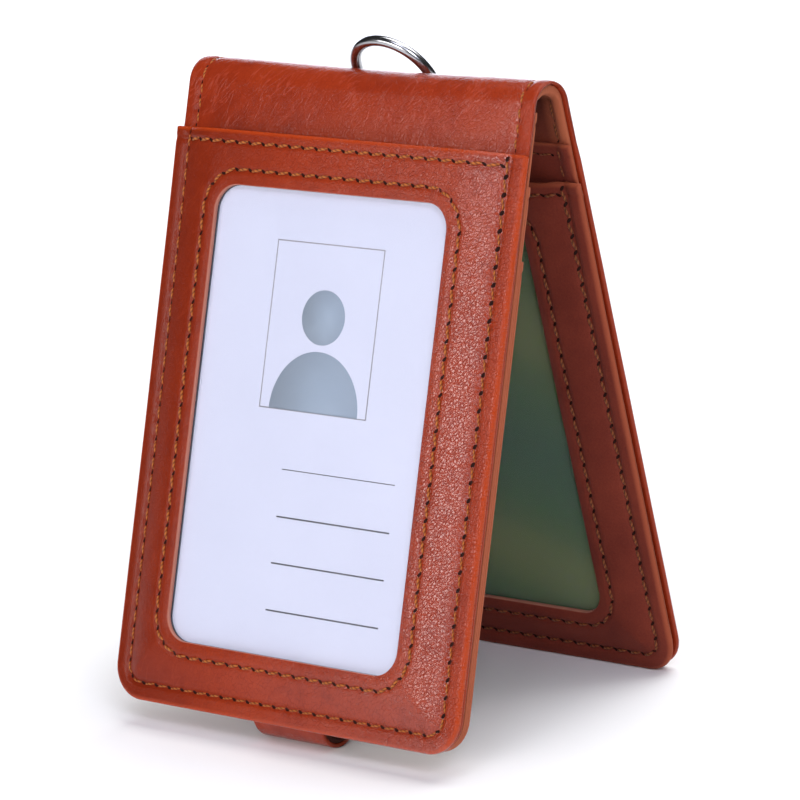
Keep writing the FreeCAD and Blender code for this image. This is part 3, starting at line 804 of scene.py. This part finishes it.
def cover_sheet(name, panel, face, material):
    """Outer leather of a panel and its half of the fold."""
    lines = np.concatenate((foot_lines(PANEL_LENGTH, FOLD_GRID_START)[:-1], np.arange(FOLD_GRID_START, 0, 0.25),
                            np.linspace(0, panel.half_arc, 34)))
    x, p = panel_grid(lines, coarse=0.6)
    d = panel_distance(x, p)
    high = face(x, p) - rolled(d, COVER_ROLL)
    low = (COVER_LOW - sag(x, p) + rolled(d, COVER_ROLL_LOW)
           + np.maximum(face(x, p) - 0.25, 0) * ease((d - 5) / 2))
    return panel_sheet(name, panel, x, p, high, low, material, flat_end=True, edge=near_edge(d, COVER_RIM))


front_cover_face = cover_face(FRONT_DOME_TOP, [front_edge_path, *band_paths, *arc_paths])
back_cover_face = cover_face(BACK_DOME_TOP, [back_outer_path, *arc_paths])
fit(cover_sheet("front_cover_leather", FRONT, front_cover_face, COVER), FRONT_FOLD, "cover_leather",
    "front_cover", "spine_cover")
fit(cover_sheet("back_cover_leather", BACK, back_cover_face, BACK_COVER), BACK_FOLD, "cover_leather", "back_cover")

# The strap's root lies in a notch of the front lining and slots.
NOTCH_HALF = 7.85
NOTCH_TOP = -97.85
SLOT_INSET, LINING_INSET = 0.4, 0.75
LINING_GAP, SLOT_GAP = 0.03, 0.02
FOLD_LINING = 0.85
SLOT_HEM, FLAT_HEM = 0.10, 0.02
INNER_FULLNESS, INNER_RIM = 0.45, 0.6
INNER_GROOVE, INNER_HEM_GROOVE, INNER_DENT = (0.45, 0.18), (0.4, 0.16), (0.5, 0.08)


def inner_face(low, top, hem=0.0, inset=SLOT_INSET, covered=None):
    """Height of an inner sheet's open face: rolled margin, sunk edge seam and a stitched hem of some fullness."""
    margin = SEAM_INSET - inset

    def face(x, p):
        d = panel_distance(x, p, inset)
        bare = 1 if covered is None else ease((p + covered) / 0.8)
        w = low + bare * (groove(d, margin, *INNER_GROOVE) - INNER_FULLNESS * swell(d, margin))
        if hem:
            h = -top - p
            w = w + groove(h, HEM_SEAM, *INNER_HEM_GROOVE) - hem * swell(h, HEM_SEAM)
        return w + 0.04 * ripple(x, p, 23.0, top + 2.0)

    return face


def inner_sheet(name, panel, top, face, low, high, material, hem=None, notch=False):
    """Thin sheet with a stitched hem, or without one a lining that goes on round the fold."""
    lining = hem is None
    inset = LINING_INSET if lining else SLOT_INSET
    lines = foot_lines(PANEL_LENGTH - inset, -top)
    if notch:
        lines = np.unique(np.concatenate((lines, [NOTCH_TOP])))
    if lining:
        lines = np.concatenate((lines, np.linspace(0, panel.half_arc, 30)[1:]))
    x, p = panel_grid(lines, inset, (-NOTCH_HALF, NOTCH_HALF) if notch else ())
    d, h = panel_distance(x, p, inset), -top - p
    radius = min(0.24, (high - low) * 0.45)
    inner, outer = face(x, p) + rolled(d, radius), high - rolled(d, radius)
    if lining:
        inner = inner - FOLD_LINING * ease(p / 5.0) * (1 + 0.2 * ripple(x, 3 * p, 13.0, 7.0)) - sag(x, p)
        outer = outer - sag(x, p)
    else:
        inner = inner + rolled(h, radius) + dents(x, p, holes_of(hem), *INNER_DENT)
        outer = outer - rolled(h, radius)
    keep = None
    if notch:
        middle_x, middle_p = ((grid[:-1, :-1] + grid[1:, 1:]) / 2 for grid in (x, p))
        keep = ~((np.abs(middle_x) < NOTCH_HALF) & (middle_p < NOTCH_TOP))
    rim = near_edge(d if lining else np.minimum(d, h), INNER_RIM)
    return panel_sheet(name, panel, x, p, outer, inner, material, keep=keep, flat_end=lining, edge=rim)


front_lining_face, back_lining_face = (inner_face(LINING_LOW, 0.0, inset=LINING_INSET, covered=covered)
                                       for covered in (FRONT_SLOTS[0][1], BACK_SLOT_TOP))
lining_layer = (LINING_LOW, COVER_LOW - LINING_GAP, LINING_SUEDE)
fit(inner_sheet("front_lining_leather", FRONT, 0.0, front_lining_face, *lining_layer, notch=True), FRONT_FOLD,
    "lining_leather", "front_lining", "spine_lining")
fit(inner_sheet("back_lining_leather", BACK, 0.0, back_lining_face, *lining_layer), BACK_FOLD,
    "lining_leather", "back_lining")

slot_paths, slot_faces = [], []
for index, (node, slot_top) in enumerate(FRONT_SLOTS):
    high = LINING_LOW - index * SLOT_SHEET
    covered = FRONT_SLOTS[index + 1][1] if index + 1 < len(FRONT_SLOTS) else None
    slot_paths.append(hem_path(slot_top))
    slot_faces.append(inner_face(high - SLOT_SHEET, slot_top, SLOT_HEM, covered=covered))
    fit(inner_sheet(node + "_leather", FRONT, slot_top, slot_faces[-1], high - SLOT_SHEET, high - SLOT_GAP,
                    LINING_SUEDE, slot_paths[-1], True), "front_panel", "lining_leather", node)
# The back card slides past this sheet's hem, which lies flat with a thin sunk thread.
back_slot_face = inner_face(BACK_SLOT_LOW, BACK_SLOT_TOP, FLAT_HEM, covered=BACK_HEM)
fit(inner_sheet("back_slot_leather", BACK, BACK_SLOT_TOP, back_slot_face, BACK_SLOT_LOW, LINING_LOW - SLOT_GAP,
                INNER_SUEDE, back_slot_path), "back_panel", "lining_leather", "back_slot_sheet")


# Window frames

FRAME_PROUD, FRAME_FLARE, FRAME_OVERHANG = 0.12, 0.45, 0.05
HEM_CORNER = 0.7
TURNED_EDGE = 0.35
FRAME_FULLNESS, WINDOW_FULLNESS = 0.12, 0.10
FRAME_GROOVE, WINDOW_GROOVE, HEM_GROOVE, FRAME_DENT = (0.5, 0.26), (0.5, 0.24), (0.45, 0.18), (0.55, 0.11)
FRAME_ROLL, FRAME_ROLL_LOW, FRAME_RIM = 0.75, 0.44, 0.8
CUT_ROLL, CUT_ROLL_LOW, CUT_RIM, CUT_RIM_LOW = 0.14, 0.06, 0.12, 0.5
SIDE_COUNT, BOTTOM_COUNT, CORNER_COUNT = 190, 125, 26


def frame_half(p, hem):
    """A frame stands a little proud of its panel near its hem."""
    return HALF_WIDTH + FRAME_PROUD + FRAME_FLARE * np.exp((np.minimum(p, -hem) + hem) / 25.0)


def frame_face(window, hem, rim_face, rise, slope, puff, seam_paths):
    """Height of a window frame's face, with sunk seams and full edges."""
    holes = holes_of(*seam_paths)

    def face(x, p):
        d = edge_distance(x, p, frame_half(p, hem), PANEL_LENGTH, PANEL_CORNER)
        g = window_distance(x, p, window)
        t = np.clip((d - SEAM_INSET - 0.15) / slope, 0, 1)
        w = rim_face + rise * (1 - (1 - t) ** puff)
        w = w + FRAME_FULLNESS * swell(d, SEAM_INSET)
        w = (w - groove(d, SEAM_INSET, *FRAME_GROOVE) - groove(g, WINDOW_SEAM, *WINDOW_GROOVE)
             - groove(-hem - p, HEM_SEAM, *HEM_GROOVE))
        w = w + WINDOW_FULLNESS * swell(g, WINDOW_SEAM) - 0.10 * np.exp(-g / 0.8)
        w = w + 0.06 * ripple(x, p, 21.0, rim_face + 3.0)
        return w - dents(x, p, holes, *FRAME_DENT)

    return face


def rounded_loop(half_top, half_bottom, top, bottom, top_radius, bottom_radius):
    """Closed line round a rectangle, with the same number of points on like stretches."""
    def corner(x, p, radius, start):
        return arc((x, p), radius, start, start + 90, CORNER_COUNT)[:-1]

    def run(start, end, count):
        return np.linspace(start, end, count)[:-1]

    high, low = -top - top_radius, -bottom + bottom_radius
    right_top, right_low = half_top - top_radius, half_bottom - bottom_radius
    return np.concatenate((
        run((right_top, -top), (-right_top, -top), BOTTOM_COUNT), corner(-right_top, high, top_radius, 90),
        run((-half_top, high), (-half_bottom, low), SIDE_COUNT), corner(-right_low, low, bottom_radius, 180),
        run((-right_low, -bottom), (right_low, -bottom), BOTTOM_COUNT), corner(right_low, low, bottom_radius, 270),
        run((half_bottom, low), (half_top, high), SIDE_COUNT), corner(right_top, high, top_radius, 0)))


def window_loop(window, gap=0.0):
    """Closed line round a window, a gap outside it."""
    half, top, bottom = window
    radius = WINDOW_CORNER + gap
    return rounded_loop(half + gap, half + gap, top - gap, bottom + gap, radius, radius)


def between(outer, inner, share):
    """Grid of points between two closed lines."""
    return outer[:, None] + (inner - outer)[:, None] * share[None, :, None]


def window_frame(name, panel, window, hem, face, under, side, material):
    """Leather frame round a window: rolled outer edge, folded hem and a cut window edge."""
    outer = rounded_loop(frame_half(-hem, hem), HALF_WIDTH + FRAME_PROUD, hem, PANEL_LENGTH + FRAME_OVERHANG,
                         HEM_CORNER, PANEL_CORNER)
    at_side = np.abs(outer[:, 0]) > HALF_WIDTH - 0.5
    x, p = outer[at_side].T
    outer[at_side, 0] = np.sign(x) * np.minimum(np.abs(x), frame_half(p, hem))

    def layer(*steps):
        """Grid with its distances from the panel's edge, the frame's border and the window."""
        flat = between(outer, window_loop(window), graded(1.0, *steps))
        x, p = flat[..., 0], flat[..., 1]
        d = edge_distance(x, p, frame_half(p, hem), PANEL_LENGTH + FRAME_OVERHANG, PANEL_CORNER)
        return flat, d, np.minimum(d, -hem - p), window_distance(x, p, window)

    upper, _, border, gap = layer(0.0025, 0.018, 1.35)
    lower, d_low, border_low, gap_low = layer(0.012, 0.12, 1.8)
    high = face(upper[..., 0], upper[..., 1]) - rolled(border, FRAME_ROLL) - rolled(gap, CUT_ROLL)
    low = under(d_low) + rolled(border_low, FRAME_ROLL_LOW) + rolled(gap_low, CUT_ROLL_LOW)
    rim = np.concatenate([near_edge(distance, FRAME_RIM).ravel() for distance in (border, border_low)])
    cut = np.concatenate((near_edge(gap, CUT_RIM).ravel(), near_edge(gap_low, CUT_RIM_LOW).ravel()))
    return ring_sheet(name, panel, upper, side * high, lower, side * low, material, rim, cut)


front_frame_face = frame_face(FRONT_WINDOW, FRONT_HEM, FRAME_RIM_FACE, FRAME_RISE, 8.4, 1.8,
                              [front_edge_path, front_window_path, front_hem_path])
back_frame_depth = frame_face(BACK_WINDOW, BACK_HEM, -BACK_RIM_FACE, BACK_FRAME_RISE, 7.0, 1.7,
                              [back_edge_path, back_window_path, back_hem_path])


def back_frame_face(x, p):
    return -back_frame_depth(x, p)


def front_frame_under(d):
    return FRAME_RISE * ease((d - 4.4) / 5.2) - TURNED_EDGE * ease(1 - d / 0.6)


def back_frame_under(d):
    return -BACK_SLOT_LOW + BACK_FRAME_RISE * ease((d - 4.4) / 3.6)


fit(window_frame("front_window_frame_leather", FRONT, FRONT_WINDOW, FRONT_HEM, front_frame_face, front_frame_under,
                 1, FRAME), "front_panel", "cover_leather", "front_window_frame")
fit(window_frame("back_window_frame_leather", BACK, BACK_WINDOW, BACK_HEM, back_frame_depth, back_frame_under,
                 -1, INNER_SUEDE), "back_panel", "lining_leather", "back_window_frame")


# Cards, their print and the clear films

PLATE_EDGE = 0.08
PLATE_STEPS = (0.02, 2.0, 1.5)
FILM_WAVE = 0.02
# Width and gap of the painted shade under the front window's frame.
FILM_SHADE_WIDTH, FILM_SHADE_GAP = 1.6, 0.02


def plate(name, panel, shape, corner, layer, material, wave=0.0):
    """Thin plate with rounded corners."""
    half, top, bottom = shape
    low, high = layer
    x, p = np.meshgrid(graded(2 * half, *PLATE_STEPS) - half, graded(bottom - top, *PLATE_STEPS) - bottom)
    x = x * rounded_half(half, corner, np.minimum(-top - p, p + bottom)) / half
    lift = wave * ripple(x, p - (top + bottom) / 2, 31.0, 5.0)
    drop = rolled(-window_distance(x, p, shape, corner), PLATE_EDGE)
    return panel_sheet(name, panel, x, p, high - drop + lift, low + drop + lift, material)


fit(plate("id_card_plate", FRONT, CARD_SHAPE, CARD_CORNER, ID_CARD, WHITE), "id_card", "white_card", "id_card")
fit(plate("back_card_plate", BACK, CARD_SHAPE, CARD_CORNER, BACK_CARD, GREEN), "back_card", "green_card",
    "back_card")
fit(plate("front_film", FRONT, FRONT_WINDOW, WINDOW_CORNER, FRONT_FILM, FILM, FILM_WAVE), "front_panel", "film",
    "front_window_film")
# A dark ring of painted shade fills the gap between the front frame and the card, just outside the window under the
# frame.
film_shade_grid = between(window_loop(FRONT_WINDOW, FILM_SHADE_WIDTH), window_loop(FRONT_WINDOW), np.linspace(0, 1, 4))
fit(ring_sheet("front_film_painted_shade", FRONT, film_shade_grid, FRAME_RISE - FILM_SHADE_GAP, film_shade_grid, ID_CARD[1] + FILM_SHADE_GAP, FILM_SHADE),
    "front_panel", "film")
fit(plate("back_film", BACK, BACK_WINDOW, WINDOW_CORNER, BACK_FILM, FILM, FILM_WAVE), "back_panel", "film",
    "back_window_film")

INK_LOW, INK_HIGH = ID_CARD[1] - 0.01, ID_CARD[1] + 0.015
PORTRAIT = (-11.4, 12.0, -25.7, -54.25)
PORTRAIT_X = 0.4
PORTRAIT_LINE = 0.22
HEAD_AT, HEAD_RADIUS = -38.1, 4.65
SHOULDERS_WIDE, SHOULDERS_HIGH = 9.65, 10.3
LINE_SPAN = (-4.8, 19.7)
CARD_LINES = ((-64.15, 0.08), (-72.15, 0.14), (-80.0, 0.14), (-87.95, 0.14))


def ink_shape(name, left, right, material):
    """Printed shape between two lines of points that run side by side."""
    x, p = np.moveaxis(np.stack((left, right), 1), -1, 0)
    fit(panel_sheet(name, FRONT, x, p, INK_HIGH, INK_LOW, material), "id_card", "white_card")


def ink_oval(name, height, wide, high, start, count):
    """Printed oval, from the angle where its sides start to its top."""
    turn = np.radians(np.linspace(start, 89.5, count))
    side = np.stack((wide * np.cos(turn), height + high * np.sin(turn)), 1)
    ink_shape(name, side * (-1, 1) + (PORTRAIT_X, 0), side + (PORTRAIT_X, 0), INK_GREY)


left, right, top, bottom = PORTRAIT
ring = np.array(((left, top), (right, top), (right, bottom), (left, bottom)))
inset = ring + PORTRAIT_LINE * np.array(((1, -1), (-1, -1), (-1, 1), (1, 1)))
ink_shape("portrait_border_upper", ring[[3, 0, 1, 2]], inset[[3, 0, 1, 2]], INK_LINE)
ink_shape("portrait_border_lower", ring[[2, 3]], inset[[2, 3]], INK_LINE)
ink_oval("portrait_head", HEAD_AT, HEAD_RADIUS, HEAD_RADIUS, -89.5, 60)
ink_oval("portrait_shoulders", bottom + 0.1, SHOULDERS_WIDE, SHOULDERS_HIGH, 0, 50)
for number, (height, half) in enumerate(CARD_LINES):
    edges = [np.stack((LINE_SPAN, np.full(2, height + shift)), 1) for shift in (half, -half)]
    ink_shape(f"card_line_{number + 1}", *edges, INK_DARK)

# Stitching
front_frame, back_frame = (FRONT, front_frame_face, 1), (BACK, back_frame_face, -1)
front_cover, back_cover = (FRONT, front_cover_face, 1), (BACK, back_cover_face, 1)
sew("front_edge", front_frame, [front_edge_path], "front_panel", EDGE_SEAM, "front_edge_seam")
sew("front_window", front_frame, [front_window_path], "front_panel", BORDER_SEAM, "front_window_seam")
sew("front_hem", front_frame, [front_hem_path], "front_panel", BORDER_SEAM, "front_hem_seam")
sew("front_band", front_cover, band_paths, "front_panel", EDGE_SEAM)
sew("back_outer", back_cover, [back_outer_path], "back_panel", EDGE_SEAM, "back_edge_seam")
sew("back_edge", back_frame, [back_edge_path], "back_panel", BORDER_SEAM, inner=True)
sew("back_window", back_frame, [back_window_path], "back_panel", BORDER_SEAM, "back_window_seam", inner=True)
sew("back_hem", back_frame, [back_hem_path], "back_panel", BORDER_SEAM, "back_slot_seams", inner=True)
sew("front_fold", front_cover, arc_paths, FRONT_FOLD, EDGE_SEAM, "spine_seam")
sew("back_fold", back_cover, arc_paths, BACK_FOLD, EDGE_SEAM)

# Each side seam of the inner sheets ends a little above the next sheet's hem.
COVERED_BY = 0.4
back_slot, back_lining = (BACK, back_slot_face, -1), (BACK, back_lining_face, -1)
front_upper, front_middle, front_lower = ((FRONT, face, -1) for face in slot_faces)
for name, surface, start, next_hem, body in (
        ("back_slot_edge", back_slot, -BACK_SLOT_TOP - 0.6, BACK_HEM, "back_panel"),
        ("back_lining_edge", back_lining, -0.2, BACK_SLOT_TOP, "back_panel"),
        ("front_upper_edge", front_upper, -1.4, FRONT_SLOTS[1][1], "front_panel"),
        ("front_middle_edge", front_middle, -13.6, FRONT_SLOTS[2][1], "front_panel")):
    sew(name, surface, side_paths(start, -next_hem + COVERED_BY), body, INNER_SEAM, inner=True)
inner_edge = edge_path(-FRONT_SLOTS[2][1] - FRAME_SEAM_START)[0]
to_notch = np.concatenate((inner_edge[inner_edge[:, 0] < -NOTCH_HALF],
                           [(-NOTCH_HALF - 0.8, SEAM_INSET - PANEL_LENGTH)]))
front_inner_paths = [polyline(to_notch * (mirror, 1)) for mirror in (1, -1)]
sew("front_inner", front_lower, front_inner_paths, "front_panel", INNER_SEAM, inner=True)
sew("front_slot_1", front_upper, slot_paths[:1], "front_panel", INNER_SEAM, "front_slot_seams", inner=True)
sew("front_slot_2", front_middle, slot_paths[1:2], "front_panel", INNER_SEAM, inner=True)
sew("front_slot_3", front_lower, slot_paths[2:], "front_panel", INNER_SEAM, inner=True)
sew("back_slot", back_slot, [back_slot_path], "back_panel", SUNK_SEAM, inner=True)


def flat_face(w):
    return lambda x, p: np.full(np.shape(x), float(w))


# Strips that follow a line in the panel's cross-section

STRIP_STEPS, STRIP_STEPS_ACROSS = (0.03, 0.5), (0.03, 0.6)
STRIP_RIM = 0.5


def strip(name, panel, line, half, high, low, material, end_corner=0.0):
    """Leather strip along a line of (p, w) points, between two offsets from it, with rounded corners at its end."""
    path = polyline(line)
    length = path[1][-1]
    run = np.unique(np.concatenate((graded(length, *STRIP_STEPS), length - graded(6.0, *STRIP_STEPS)[:30])))
    run = np.clip(run, 0, length)[:, None]
    at = along(path, run[:, 0])
    normal = turned_left(unit_rows(np.gradient(at, axis=0)))
    limit = rounded_half(half, end_corner, length - run)
    x = (graded(2 * half, *STRIP_STEPS_ACROSS)[None] - half) * limit / half
    edge = np.minimum(np.minimum(limit - np.abs(x), length - run), run)
    drop = rolled(edge, 0.45 * (high - low))
    origin = panel.place(0, 0, 0)

    def face(offset):
        shifted = at[:, None] + normal[:, None] * offset[..., None]
        flat = panel.place(x, 0, 0) - origin
        return origin + flat + shifted[..., :1] * panel.up + shifted[..., 1:] * panel.out

    uv = np.stack(np.broadcast_arrays(x, run), -1)
    return sheet(name, face(high - drop), face(low + drop), uv, material, edge=near_edge(edge, STRIP_RIM))


STRAP_HALF = 7.7
STRAP_LAYER, STRAP_GAP = 0.8, 0.01
STRAP_START = -98.0
STRAP_CORNER = 5.0
BEND_P, BEND_W = -104.7, -5.9
BEND_RADIUS = 4.9
BEND_REACH = 2.2
TONGUE = 22.0
STRAP_SEAM_INSET, STRAP_SEAM_CORNER = 1.8, 3.2
turn = np.radians(np.linspace(0, -180, 61))
mean_radius = BEND_RADIUS - STRAP_LAYER
strap_line = np.concatenate((
    [(STRAP_START, COVER_LOW - STRAP_LAYER)],
    np.stack((BEND_P + mean_radius * np.sin(turn), BEND_W + mean_radius * np.cos(turn)), 1),
    [(BEND_P + TONGUE, BEND_W - BEND_RADIUS + STRAP_LAYER)]))
strap_bend = ("front_panel", "strap", *(FRONT.point_m(BEND_P - BEND_RADIUS, BEND_W + shift)
                                        for shift in (BEND_REACH, -BEND_REACH)))
# The strap's lining takes the darker suede, painted shade inside its bend.
for name, high, low, material, slot, nodes in (
        ("strap_outer_leather", -STRAP_GAP, -STRAP_LAYER, COVER, "cover_leather", ("strap_root", "strap_outer")),
        ("strap_lining_leather", STRAP_LAYER, STRAP_GAP, STRAP_SHADED_SUEDE, "lining_leather", ("strap_lining",))):
    fit(strip(name, FRONT, strap_line, STRAP_HALF, high, low, material, STRAP_CORNER), strap_bend, slot, *nodes)

seam_x, seam_start = STRAP_HALF - STRAP_SEAM_INSET, BEND_P + 0.3
corner_x, corner_p = seam_x - STRAP_SEAM_CORNER, BEND_P + TONGUE - STRAP_SEAM_INSET - STRAP_SEAM_CORNER
strap_path = polyline(np.concatenate((
    [(-seam_x, seam_start)], arc((-corner_x, corner_p), STRAP_SEAM_CORNER, 180, 90),
    arc((corner_x, corner_p), STRAP_SEAM_CORNER, 90, 0), [(seam_x, seam_start)])))
sew("strap", (FRONT, flat_face(BEND_W - BEND_RADIUS), -1), [strap_path], "strap", INNER_SEAM, "strap_seam")

# Lanyard ring with its leather loop and tab
RING_RADIUS, RING_CORNER, WIRE_RADIUS = 8.0, 1.2, 0.95
ring_at = np.array(joints["ring_swing"]["pos_m"]) / MM
ring_points = np.array([v.co for v in frame["nodes"]["ring"].data.vertices]) / MM
ring_up = unit((ring_points - ring_at).mean(0) * (0, 1, 1))
bar_half = RING_RADIUS - RING_CORNER
ring_line = np.concatenate((
    np.stack((np.linspace(-bar_half, bar_half, 30), np.zeros(30)), 1)[:-1],
    arc((bar_half, RING_CORNER), RING_CORNER, -90, 0, 12)[:-1],
    arc((0, RING_CORNER), RING_RADIUS, 0, 180, 120)[:-1],
    arc((-bar_half, RING_CORNER), RING_CORNER, 180, 270, 12)[:-1]))
tangent = unit_rows(np.roll(ring_line, -1, 0) - np.roll(ring_line, 1, 0))
turn = np.linspace(0, 2 * math.pi, 29)[:-1]
centre = ring_at + ring_line[:, :1] * X + ring_line[:, 1:] * ring_up
outward = tangent[:, 1:] * X - tangent[:, :1] * ring_up
tube = centre[:, None] + WIRE_RADIUS * (np.cos(turn)[None, :, None] * outward[:, None]
                                        + np.sin(turn)[None, :, None] * np.cross(X, ring_up))
rows, columns = tube.shape[:2]
fit(make_object("ring_wire", tube.reshape(-1, 3), grid_quads(rows, columns, True, True),
                np.zeros((rows * columns, 2)), CHROME), "ring", "ring_metal", "ring")

LOOP_MEAN, LOOP_LEATHER, LOOP_HALF = 1.27, 0.46, 5.0
TAB_END, TAB_FACE = -13.1, 0.90
TAB_SEAM_HALF, TAB_SEAM_TOP, TAB_SEAM_INSET = 3.7, -5.2, 1.3
bar = ring_at - AXIS
bar_p, bar_w = float(bar @ BACK.up), float(bar @ BACK.out) - RADIUS
turn = np.radians(np.linspace(-58, 208, 48))[5:-5]
round_bar = np.stack((bar_p + LOOP_MEAN * np.sin(turn), bar_w + LOOP_MEAN * np.cos(turn)), 1)
outer_run = ((TAB_END, 0.67), (-4.2, 0.67), (-3.2, 0.80), (-2.3, 1.35))
inner_run = ((-1.9, 0.42), (-3.0, 0.23), (-4.2, 0.22), (TAB_END, 0.22))


def smooth_line(points, count):
    """Points spread along a line whose corners are eased."""
    for _ in range(3):
        cut = np.stack((points[:-1] * 0.75 + points[1:] * 0.25, points[:-1] * 0.25 + points[1:] * 0.75), 1)
        points = np.concatenate((points[:1], cut.reshape(-1, 2), points[-1:]))
    path = polyline(points)
    return along(path, np.linspace(0, path[1][-1], count))


loop_line = smooth_line(np.concatenate((outer_run, round_bar, inner_run)), 220)
loop_bend = ("back_panel", "ring_loop", BACK.point_m(-4.0, 0.45), BACK.point_m(-1.2, 0.9))
fit(strip("ring_loop_leather", BACK, loop_line, LOOP_HALF, LOOP_LEATHER / 2, -LOOP_LEATHER / 2, COVER), loop_bend,
    "cover_leather", "ring_loop", "ring_tab")
tab_low = TAB_END + TAB_SEAM_INSET
tab_path = polyline(((-TAB_SEAM_HALF, TAB_SEAM_TOP), (-TAB_SEAM_HALF, tab_low), (TAB_SEAM_HALF, tab_low),
                     (TAB_SEAM_HALF, TAB_SEAM_TOP)), True)
sew("ring_tab", (BACK, flat_face(TAB_FACE), 1), [tab_path], "back_panel", INNER_SEAM, "ring_tab_seam")

# Solids that keep their CAD shape
for node, material in (("front_board", BOARD), ("back_board", BOARD), ("strap_magnet", STEEL),
                       ("keeper_plate", STEEL)):
    mesh = frame["nodes"][node].data
    mesh.materials.clear()
    mesh.materials.append(material)

# Floor and lights, in metres
FLOOR_HALF = 2.5
floor_mesh = bpy.data.meshes.new("floor")
floor_mesh.from_pydata([(x * FLOOR_HALF, y * FLOOR_HALF, 0) for x, y in ((-1, -1), (1, -1), (1, 1), (-1, 1))],
                       [], [(0, 1, 2, 3)])
paper = Material("floor", Roughness=0.9, Specular_IOR_Level=0.1)
paper_tone = paper.noise(paper.add("TexCoord").outputs["Object"], 6.0)
paper.link(paper.ramp(paper_tone, (0.3, 0.93), (0.7, 0.95)), "Base Color")
floor_mesh.materials.append(paper.material)
floor = add_item("floor", floor_mesh)


def stand(item, right, up, back, position):
    item.matrix_world = Matrix([[right[k], up[k], back[k], position[k]] for k in range(3)] + [[0, 0, 0, 1]])


def area_light(name, position, target, size, power, colour=(1, 1, 1)):
    light = bpy.data.lights.new(name, "AREA")
    light.shape = "RECTANGLE"
    light.size, light.size_y = size
    light.energy = power
    light.color = colour
    back = unit(np.array(position) - np.array(target))
    right = unit(np.cross((0, 0, 1), back))
    stand(add_item(name, light), right, np.cross(back, right), back, position)


MIDDLE = (0, 0, 0.055)
COOL = (0.92, 0.95, 1.08)
NEUTRAL = (1.0, 0.98, 0.98)
area_light("front_softbox", (-0.02, -1.00, 0.34), MIDDLE, (0.55, 0.22), 4.4, NEUTRAL)
area_light("front_fill", (-0.45, -0.89, 0.34), MIDDLE, (0.27, 0.22), 1.3, NEUTRAL)
area_light("key_right", (0.75, -0.56, 0.65), MIDDLE, (0.4, 0.4), 4.4, COOL)
area_light("key_high", (0.25, -0.62, 1.05), MIDDLE, (0.5, 0.5), 2.6, COOL)
area_light("back_left_panel", (-0.62, 0.74, 0.20), (0, 0, 0.1), (0.9, 0.36), 3.5, COOL)
area_light("overhead", (0.20, 0.65, 1.6), (0.05, 0.3, 0), (1.6, 1.6), 30)

WORLD_STRENGTH = 0.035
world = bpy.data.worlds.new("studio")
world.use_nodes = True
world.node_tree.nodes["Background"].inputs["Color"].default_value = (1, 1, 1, 1)
world.node_tree.nodes["Background"].inputs["Strength"].default_value = WORLD_STRENGTH
bpy.context.scene.world = world
bpy.context.scene.view_settings.view_transform = "Standard"

# Camera, with its distance and aim in millimetres and its focal length in pixels
CAMERA_DISTANCE = 800.0
CAMERA_AZIMUTH, CAMERA_ELEVATION, CAMERA_ROLL = 40.122, 15.077, -4.954
FOCAL_PIXELS, IMAGE_PIXELS, SENSOR = 4666.046, 800, 36.0
AIM_ACROSS, AIM_FROM_AXIS = -0.105, -53.1971
azimuth, elevation, roll = (math.radians(value) for value in (CAMERA_AZIMUTH, CAMERA_ELEVATION, CAMERA_ROLL))
backward = np.array((math.sin(azimuth) * math.cos(elevation), -math.cos(azimuth) * math.cos(elevation),
                     math.sin(elevation)))
rightward = np.array((math.cos(azimuth), math.sin(azimuth), 0.0))
upward = np.cross(backward, rightward)
position = AXIS + rightward * AIM_ACROSS + np.array((0, 0, AIM_FROM_AXIS)) + backward * CAMERA_DISTANCE
camera_x = rightward * math.cos(roll) + upward * math.sin(roll)
camera_y = upward * math.cos(roll) - rightward * math.sin(roll)
camera_data = bpy.data.cameras.new("camera")
camera_data.sensor_width = SENSOR
camera_data.lens = FOCAL_PIXELS / IMAGE_PIXELS * SENSOR
camera_data.clip_start, camera_data.clip_end = 0.05, 20
camera = add_item("camera", camera_data)
stand(camera, camera_x, camera_y, backward, position * MM)
bpy.context.scene.camera = camera

bpy.context.view_layer.update()
